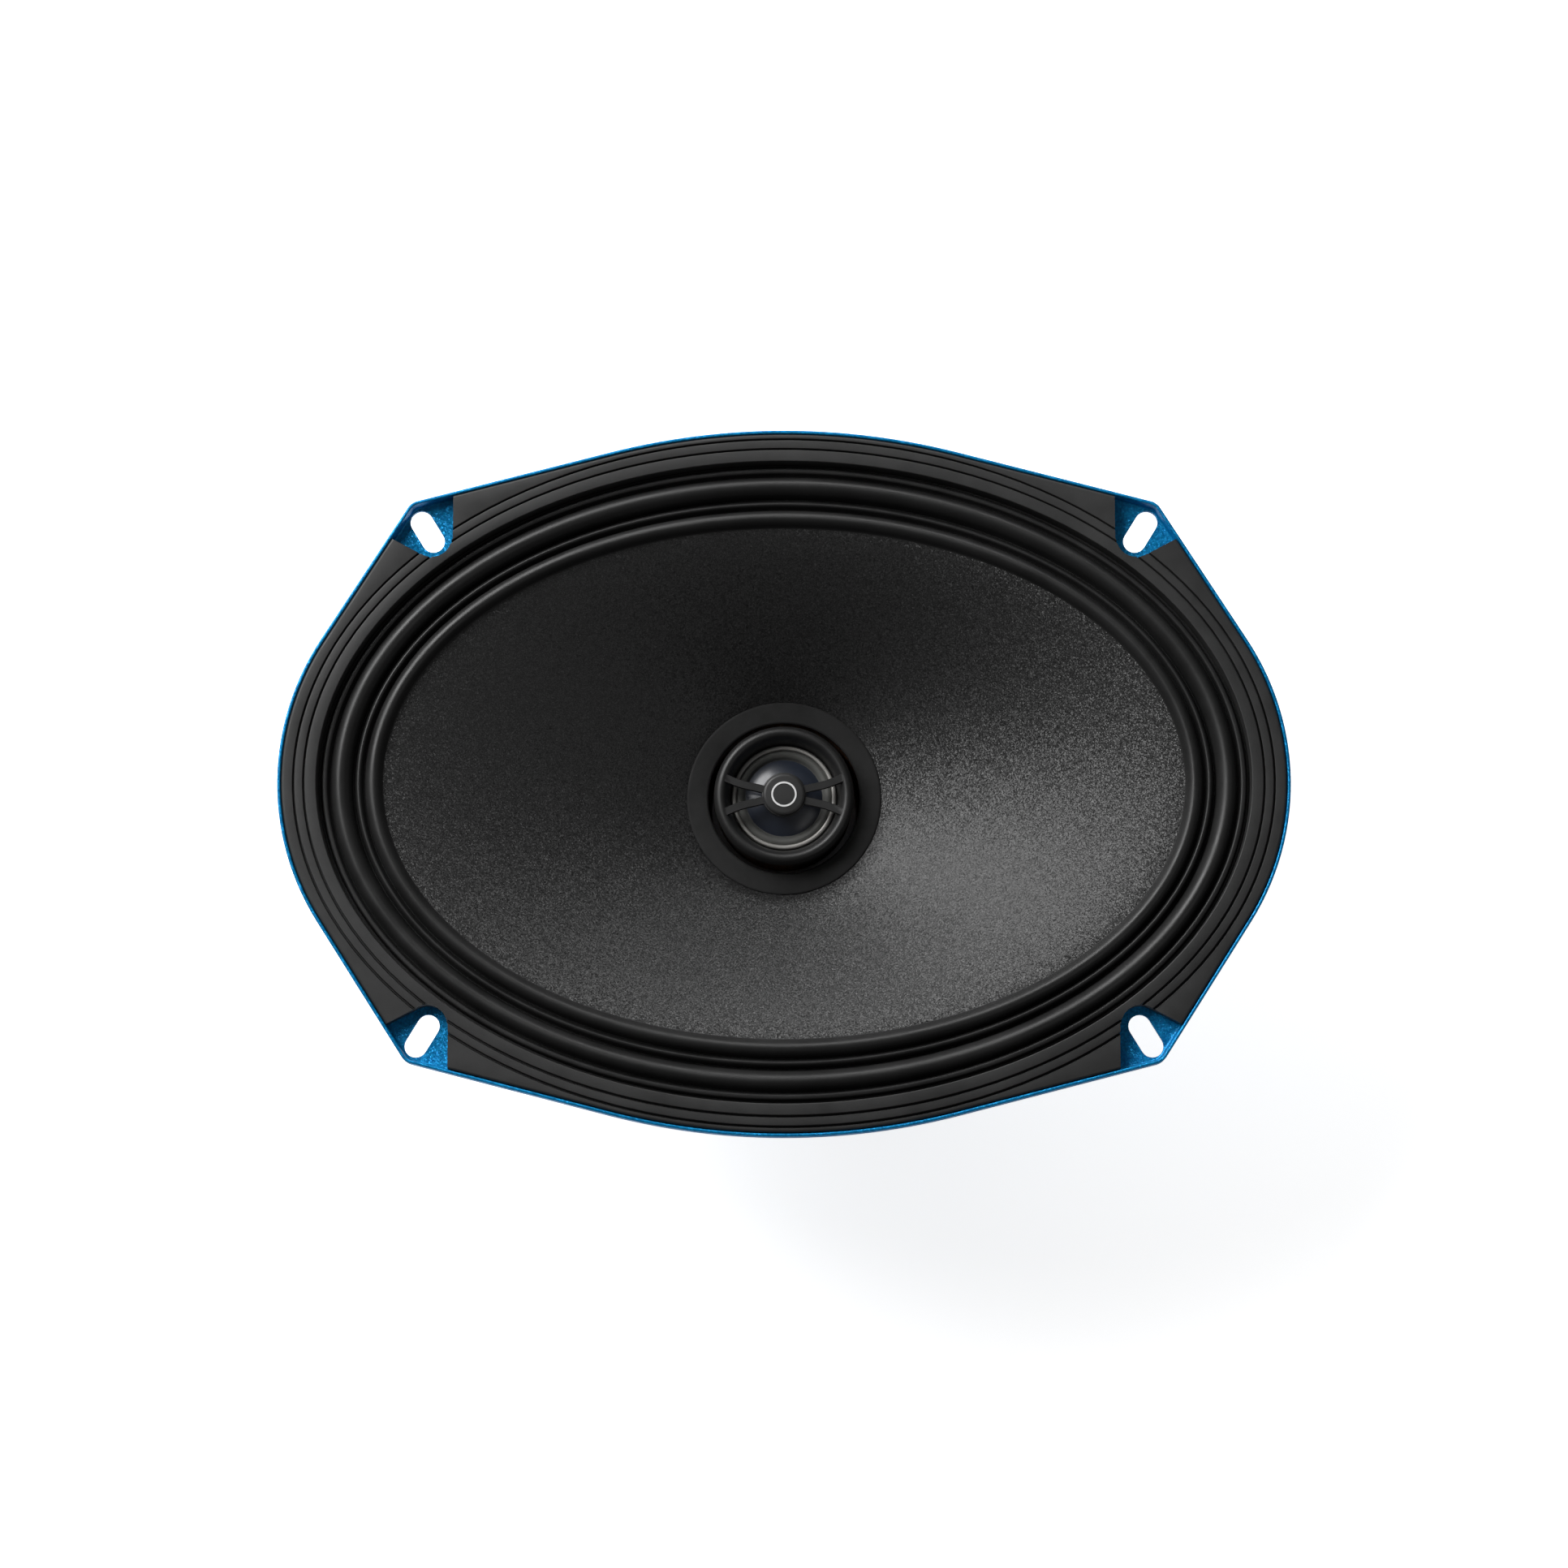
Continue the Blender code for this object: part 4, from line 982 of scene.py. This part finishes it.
def make_tweeter_dome(film):
    """A thin spherical cap, open below."""
    low, high = box("tweeter_dome")
    edge_r = high.x
    rise = DOME_RISE * (high.z - low.z)
    sphere_r = (edge_r**2 + rise**2) / (2 * rise)
    crown_z = low.z + rise
    centre_z = crown_z - sphere_r
    thickness = 0.35
    steps = 24
    radii = [edge_r * (1 - i / steps) for i in range(steps)]
    top = [(radius, centre_z + sqrt(sphere_r**2 - radius**2)) for radius in radii]
    under = [(r, z - thickness) for r, z in top[1:]]
    edge = (edge_r - 0.2, low.z - 0.1)
    profile = [(0, crown_z), *reversed(top), edge, *under, (0, crown_z - thickness)]
    dome = make_object("tweeter_dome_visual", revolve(profile))
    finish_piece(dome, ["tweeter_dome"], film, "tweeter_diaphragm")


def make_tweeter_coil(copper):
    low, high = box("tweeter_coil")
    profile = band(9.0, high.x, low.z, box("tweeter_dome")[0].z)
    turned("tweeter_coil", profile, copper, 0.08, MEDIUM_STEPS, body="tweeter_diaphragm")


def make_tweeter_surround(rubber):
    """The soft roll between the diaphragm's ring and the dome."""
    low, high = box("tweeter_surround")
    flat = [(high.x, 0.5), (11.9, 0.5), (11.7, 0.6)]
    roll = [(11.4, 1.1), (10.9, 1.45), (10.4, 1.5), (9.8, 1.2), (9.35, 0.6), (9.1, 0.4), (8.8, 0.45)]
    curve = smooth_line(raised(low.z, *flat, *roll), 4)
    section = curve + [(r, z - 0.25) for r, z in reversed(curve)]
    name = "tweeter_surround"
    soft_piece(name, revolve(section), rubber)


def make_trim_ring(trim):
    low, high = box("trim_ring")
    inner, outer = 11.35, high.x
    sides = [(inner, low.z), (outer, low.z)]
    face = raised(high.z, (outer, -0.3), (outer - 0.25, 0), (inner + 0.25, 0), (inner, -0.25))
    turned("trim_ring", sides + face, trim, 0.2)


def arm_outline(sx, sy, width):
    """One bowed arm of the tweeter's guard, from inside the hub to inside the bezel's roll."""
    middles = smooth_line([(3.2, 0.9), (5.6, 1.5), (9.5, 2.4), (12.2, 3.35), (14.5, 4.4)], 5)
    sides = ([], [])
    for index, (x, y) in enumerate(middles):
        before = middles[max(index - 1, 0)]
        after = middles[min(index + 1, len(middles) - 1)]
        run = (after[0] - before[0], after[1] - before[1])
        share = width / 2 / hypot(*run)
        for side, sign in zip(sides, (1, -1)):
            side.append((sx * (x - sign * run[1] * share), sy * (y + sign * run[0] * share)))
    return sides[0] + sides[1][::-1]


def make_arm(sx, sy, top, bottom):
    """An arm with chamfered upper edges."""
    wide = arm_outline(sx, sy, 1.85)
    narrow = arm_outline(sx, sy, 1.6)
    loops = [flat_loop(wide, bottom), flat_loop(wide, top - 0.15), flat_loop(narrow, top)]
    return skin(loops, closed_section=False)


def make_bezel(plastic):
    """The rolled rim, four arms and hub, in one moulding."""
    top = box("tweeter_bezel")[1].z
    outside = [(16.0, -2.6), (16.5, -2.4), (16.6, -1.9), (16.35, -1.1), (15.95, -0.45), (15.5, -0.12)]
    inside = [(15.0, 0.0), (14.5, -0.15), (14.0, -0.65), (13.55, -1.6), (13.15, -2.9), (12.8, -4.7)]
    under = [(12.7, -5.3), (13.4, -5.4), (14.1, -4.6), (14.9, -3.4), (15.5, -2.7)]
    profile = raised(top, *smooth_line(outside + inside + under, 3))
    bezel = make_object("tweeter_bezel_visual", revolve(profile))
    arm_depth, hub_r = 1.2, 5.3
    arm_top = top - 0.15
    arm_low = arm_top - arm_depth
    for sx, sy in CORNERS:
        boolean(bezel, make_arm(sx, sy, arm_top, arm_low), "UNION")
    hub = rounded_profile(band(0, hub_r, arm_low, arm_top), 0.3)
    boolean(bezel, revolve(hub, MEDIUM_STEPS), "UNION")
    finish_piece(bezel, ["tweeter_bezel"], plastic)


def make_badge(plastic, paint):
    """A round badge with one printed ring."""
    low, high = box("hub_badge")
    edge = high.x - 0.5
    profile = [*raised(low.z, (0, -0.2), (edge, -0.2), (edge, 0.3), (edge - 0.5, 0.55)), (0, high.z)]
    turned("hub_badge", profile, plastic, 0.15, MEDIUM_STEPS)
    ring_r = 3.0
    line_width = 0.42
    profile = rounded_profile(band(ring_r - line_width, ring_r, low.z + 0.5, high.z + 0.02), 0.03)
    printed = make_object("badge_ring", revolve(profile, MEDIUM_STEPS))
    finish_piece(printed, [], paint)


# ------------------------ terminals and wiring


def plate_shape(points, low, high, edge):
    """A flat plate with chamfered edges on both faces."""
    shrunk = [(x * (1 - edge / hypot(x, y)), y * (1 - edge / hypot(x, y))) for x, y in points]
    loops = [
        flat_loop(shrunk, low),
        flat_loop(points, low + edge),
        flat_loop(points, high - edge),
        flat_loop(shrunk, high),
    ]
    return skin(loops, closed_section=False)


def make_terminal_board(look):
    points = rounded_rectangle(BOARD_WIDTH, BOARD_HEIGHT, 2, 5)
    plate = plate_shape(points, BOARD_LOW - 0.25, BOARD_HIGH, 0.2)
    board = make_object("terminal_board_visual", transformed(plate, BOARD))
    holes = [cylinder(RIVET_HOLE_R, -9, 9, BOARD)]
    holes += [cylinder(EYELET_HOLE_R, -9, 9, at_eyelet(x)) for x in (TAB_X, -TAB_X)]
    boolean(board, join_shapes(holes))
    finish_piece(board, ["terminal_board"], look)


def make_terminal(name, x, width, look):
    """A push-on tab with a hole near its nose, and the eyelet that holds it to the board."""
    side = width / 2
    nose = side - 1.2
    left = [(x - side, -1.0), (x - side, -19.6), (x - nose, -21.0)]
    right = [(x + nose, -21.0), (x + side, -19.6), (x + side, -1.0)]
    shape = prism(left + right, TAB_LOW, TAB_HIGH)
    tab = make_object(f"{name}_visual", transformed(shape, BOARD))
    holes = [cylinder(EYELET_HOLE_R, -9, 9, at_eyelet(x)), cylinder(0.8, -9, 9, on_board(x, -16.5))]
    boolean(tab, join_shapes(holes))
    bevel = tab.modifiers.new("edges", "BEVEL")
    bevel.width = 0.12 * MM
    bevel.segments = 2
    finish_piece(tab, [name], look)
    stem = [(0, -2.2), (2.2, -2.2), (2.2, -1.5), (1.2, -1.2)]
    head = raised(TAB_HIGH, (1.2, 0), (2.3, 0), (2.1, 0.6), (1.2, 0.9), (0.8, 0.3), (0, 0.2))
    turned(f"{name}_eyelet", stem + head, look, 0.15, SMALL_STEPS, at_eyelet(x))


def make_rivet(steel):
    stem = [(0, -2.8), (2.8, -2.8), (3.0, -2.0), (1.6, -2.0)]
    head = raised(BOARD_HIGH, (1.6, 0), (3.2, 0), (2.9, 0.8), (1.6, 1.5), (0, 1.6))
    turned("terminal_rivet", stem + head, steel, 0.25, SMALL_STEPS, BOARD)


def tube(points, radius, sides=14):
    """A round wire along a path, capped at both ends."""
    loops = []
    side = Vector((1, 0, 0))
    for index, point in enumerate(points):
        before = points[max(index - 1, 0)]
        after = points[min(index + 1, len(points) - 1)]
        along = (after - before).normalized()
        if abs(along.dot(side)) > 0.95:
            side = Vector((0, 1, 0))
        side = (side - along * side.dot(along)).normalized()
        second = along.cross(side)
        turns = [2 * pi * i / sides for i in range(sides)]
        loops.append([point + radius * (cos(a) * side + sin(a) * second) for a in turns])
    return skin(loops, closed_section=False)


def path_through(corners, radius, steps=8):
    """The points of a path, with each inner corner replaced by a curve."""
    path = [corners[0]]
    for corner in zip(corners, corners[1:], corners[2:]):
        path += round_corner(*corner, radius, steps)
    return path + [corners[-1]]


def make_capacitor(sleeve, tin):
    """A small electrolytic can in a shrink sleeve, with its leads bent down to the eyelets."""
    radius, half = CAPACITOR_R, CAPACITOR_HALF
    foot = raised(-half, (0, 0.4), (radius - 0.9, 0.4), (radius - 0.7, 0), (radius, 0.5))
    neck = raised(half, (radius, -2.4), (radius - 0.45, -1.9), (radius, -1.4))
    head = raised(half, (radius, -0.5), (radius - 0.7, 0), (radius - 0.9, -0.5), (0, -0.5))
    centre = Vector((0, 7.0, BOARD_HIGH + 0.1 + radius))
    matrix = BOARD @ Matrix.Translation(centre) @ Matrix.Rotation(pi / 2, 4, "Y")
    profile = foot + neck + head
    turned("crossover_capacitor", profile, sleeve, 0.25, 64, matrix)
    for name, sign in (("capacitor_lead_right", 1), ("capacitor_lead_left", -1)):
        start = centre + Vector((sign * (half - 0.6), 0, 0))
        out = start + Vector((sign * 2.6, 0, 0))
        down = Vector((out.x, -1.5, BOARD_HIGH + 1.0))
        end = Vector((sign * TAB_X, -EYELET_DROP, BOARD_HIGH + 1.0))
        path = path_through([BOARD @ point for point in (start, out, down, end)], 1.2)
        finish_piece(make_object(name, tube(path, 0.35)), [], tin)


def make_tinsel_leads(look):
    """Braided leads from the eyelets to the collar under the cone."""
    lead_r = 0.6
    sides = 14
    end_r = box("voice_coil_former")[1].x + 2.3
    for name, sign in (("tinsel_lead_positive", 1), ("tinsel_lead_negative", -1)):
        start = BOARD @ Vector((sign * TAB_X, -EYELET_DROP, -2.4 - lead_r))
        turn = radians(270 + sign * 20)
        end = Vector((end_r * cos(turn), end_r * sin(turn), FLANGE_Z - 30.4))
        high = start.lerp(end, 0.3) + up(5.0)
        low = start.lerp(end, 0.75) + up(1.0)
        path = path_through([start, high, low, end], 8, 12)
        shape = tube(path, lead_r, sides)
        soft_piece(name, shape, look)


def make_tweeter_wires(red, black):
    """Insulated wires from the board, down past the magnet, along the groove and up through the pole."""
    wire_r = 0.7
    groove_z = box("yoke")[0].z + 1.4
    outside_y = box("ferrite_magnet")[0].y - wire_r - 0.8
    corners = [
        BOARD @ Vector((0, 1 - BOARD_HEIGHT / 2, BOARD_HIGH + wire_r)),
        Vector((0, outside_y, box("front_plate")[1].z + 2)),
        Vector((0, outside_y, groove_z)),
        up(groove_z),
        up(box("tweeter_housing")[0].z + 1.2),
    ]
    for name, x, look, slot in (
        ("tweeter_wire_positive", 1.2, red, "red_wire"),
        ("tweeter_wire_negative", -1.2, black, "black_wire"),
    ):
        path = path_through([corner + Vector((x, 0, 0)) for corner in corners], 2.5)
        finish_piece(make_object(f"{name}_visual", tube(path, wire_r)), [name], look)


# ------------------------ floor, light and camera


def camera_ray(tree):
    return add_node(tree, "LightPath").outputs["Is Camera Ray"]


def floor_look():
    """Looks white, and whiter away from the object, but gives little light itself."""
    made, tree, shader = new_material("pale_floor")
    near, far = 0.3, 1.5
    glow_near, glow_far, glow_as_light = 0.78, 1.0, 0.13
    position = add_node(tree, "NewGeometry").outputs["Position"]
    distance = vector_math(tree, "LENGTH", position).outputs["Value"]
    span = {"From_Min": near, "From_Max": far, "To_Min": glow_near, "To_Max": glow_far}
    seen = add_node(tree, "MapRange", Value=distance, **span).outputs["Result"]
    glow = add_node(tree, "MapRange", Value=camera_ray(tree), To_Min=glow_as_light, To_Max=seen)
    set_inputs(
        shader,
        Base_Color=ramp(tree, noise(tree, 3, 2), grey(0.93), grey(0.95)),
        Roughness=0.9,
        Emission_Color=(1, 1, 1, 1),
        Emission_Strength=glow.outputs["Result"],
    )
    return made


def make_floor():
    reach = 30 / MM
    corners = flat_loop([(sx * reach, sy * reach) for sx, sy in CORNERS], 0)
    floor = make_object("floor", (corners, [(0, 1, 2, 3)]))
    floor.data.materials.append(floor_look())


def aim(obj, target):
    bpy.context.scene.collection.objects.link(obj)
    obj.rotation_euler = (target - obj.location).to_track_quat("-Z", "Y").to_euler()


def area_light(name, location, size, power):
    """A white panel that faces the middle of the flange. Places and sizes are in metres."""
    data = bpy.data.lights.new(name, "AREA")
    data.shape = "RECTANGLE"
    data.size, data.size_y = size
    data.energy = power
    light = bpy.data.objects.new(name, data)
    light.location = location
    aim(light, up(FLANGE_Z * MM))


def make_world():
    """A dim surround for the light, which the camera sees as white."""
    world = bpy.data.worlds.new("studio")
    bpy.context.scene.world = world
    world.use_nodes = True
    tree = world.node_tree
    strength = add_node(tree, "MapRange", Value=camera_ray(tree), To_Min=0.08, To_Max=1.0)
    set_inputs(tree.nodes["Background"], Color=(1, 1, 1, 1), Strength=strength.outputs["Result"])


def make_lights():
    """A large soft light from the upper left, a strip along the far side and a weak fill."""
    area_light("key", location=(-0.70, 0.60, 0.80), size=(0.8, 0.8), power=16)
    area_light("far_strip", location=(-0.10, 1.00, 0.50), size=(1.2, 0.3), power=4.8)
    area_light("fill", location=(0.9, -0.7, 0.9), size=(0.8, 0.8), power=1.1)


def make_camera():
    """The camera looks almost along the sound axis, from the -Y side."""
    data = bpy.data.cameras.new("camera")
    data.lens = 109.0
    data.sensor_width = 36
    data.shift_y = -0.0028
    camera = bpy.data.objects.new("camera", data)
    centre = up(LIP_TOP * MM)
    distance = 1.10
    tilt = radians(8.5)
    camera.location = centre + distance * Vector((0, -sin(tilt), cos(tilt)))
    aim(camera, centre)
    bpy.context.scene.camera = camera


def make_woofer(steel, plain_steel, copper):
    make_basket(blue_paint())
    make_gasket(moulded("gasket_rubber", grey(0.021), 0.52, 3000, 0.02 * MM))
    make_surround(moulded("surround_rubber", grey(0.014), 0.46, 3500, 0.012 * MM))
    make_spider(woven("spider_cloth", (0.48, 0.30, 0.10), 1200))
    make_cone(mica_cone())
    make_dust_ring(moulded("dust_ring_paper", grey(0.012), 0.7, 5000, 0.02 * MM, specular=0.3))
    make_voice_coil(amber_film(), copper)
    make_front_plate(steel)
    make_magnet(ferrite())
    make_yoke(steel)
    make_plate_screws(plain_steel)


def make_tweeter(plain_steel, copper):
    plastic = moulded("tweeter_plastic", grey(0.012), 0.46)
    make_tweeter_post(plastic)
    make_tweeter_housing(plastic)
    make_tweeter_motor(plastic, plain_steel, metal("nickel", (0.6, 0.58, 0.54), 0.2))
    make_tweeter_dome(dome_film())
    make_tweeter_coil(copper)
    # The roll's grey is its own olive tone lightened with painted light, since it sits deep in the bezel
    # where the lamps reach it only in part.
    make_tweeter_surround(moulded("dome_roll", (0.085, 0.086, 0.080), 0.6))
    make_trim_ring(metal("satin_trim", (0.42, 0.41, 0.39), 0.5))
    make_bezel(plastic)
    badge_print = moulded("badge_print", grey(0.75), 0.5, variation=0.04)
    make_badge(moulded("badge_plastic", grey(0.018), 0.5), badge_print)


def make_wiring(plain_steel):
    brass = metal("brass", (0.74, 0.55, 0.26), 0.28)
    make_terminal_board(phenolic())
    make_terminal("terminal_positive", TAB_X, 6.3, brass)
    make_terminal("terminal_negative", -TAB_X, 4.75, brass)
    make_rivet(plain_steel)
    make_capacitor(moulded("capacitor_sleeve", (0.012, 0.04, 0.17), 0.3), plain_steel)
    make_tinsel_leads(woven("tinsel_braid", (0.62, 0.36, 0.18), 1500, 0.5))
    red = moulded("red_insulation", (0.36, 0.015, 0.015), 0.4)
    make_tweeter_wires(red, moulded("black_insulation", grey(0.015), 0.4))


def main():
    steel = metal("zinc_steel", (0.44, 0.45, 0.46), 0.32, spin=True)
    plain_steel = metal("plated_steel", (0.50, 0.51, 0.52), 0.3)
    copper = wound("copper_winding", (0.72, 0.33, 0.16), 3000)
    make_woofer(steel, plain_steel, copper)
    make_tweeter(plain_steel, copper)
    make_wiring(plain_steel)
    make_floor()
    make_world()
    make_lights()
    make_camera()
    bpy.context.scene.view_settings.view_transform = "Standard"


main()
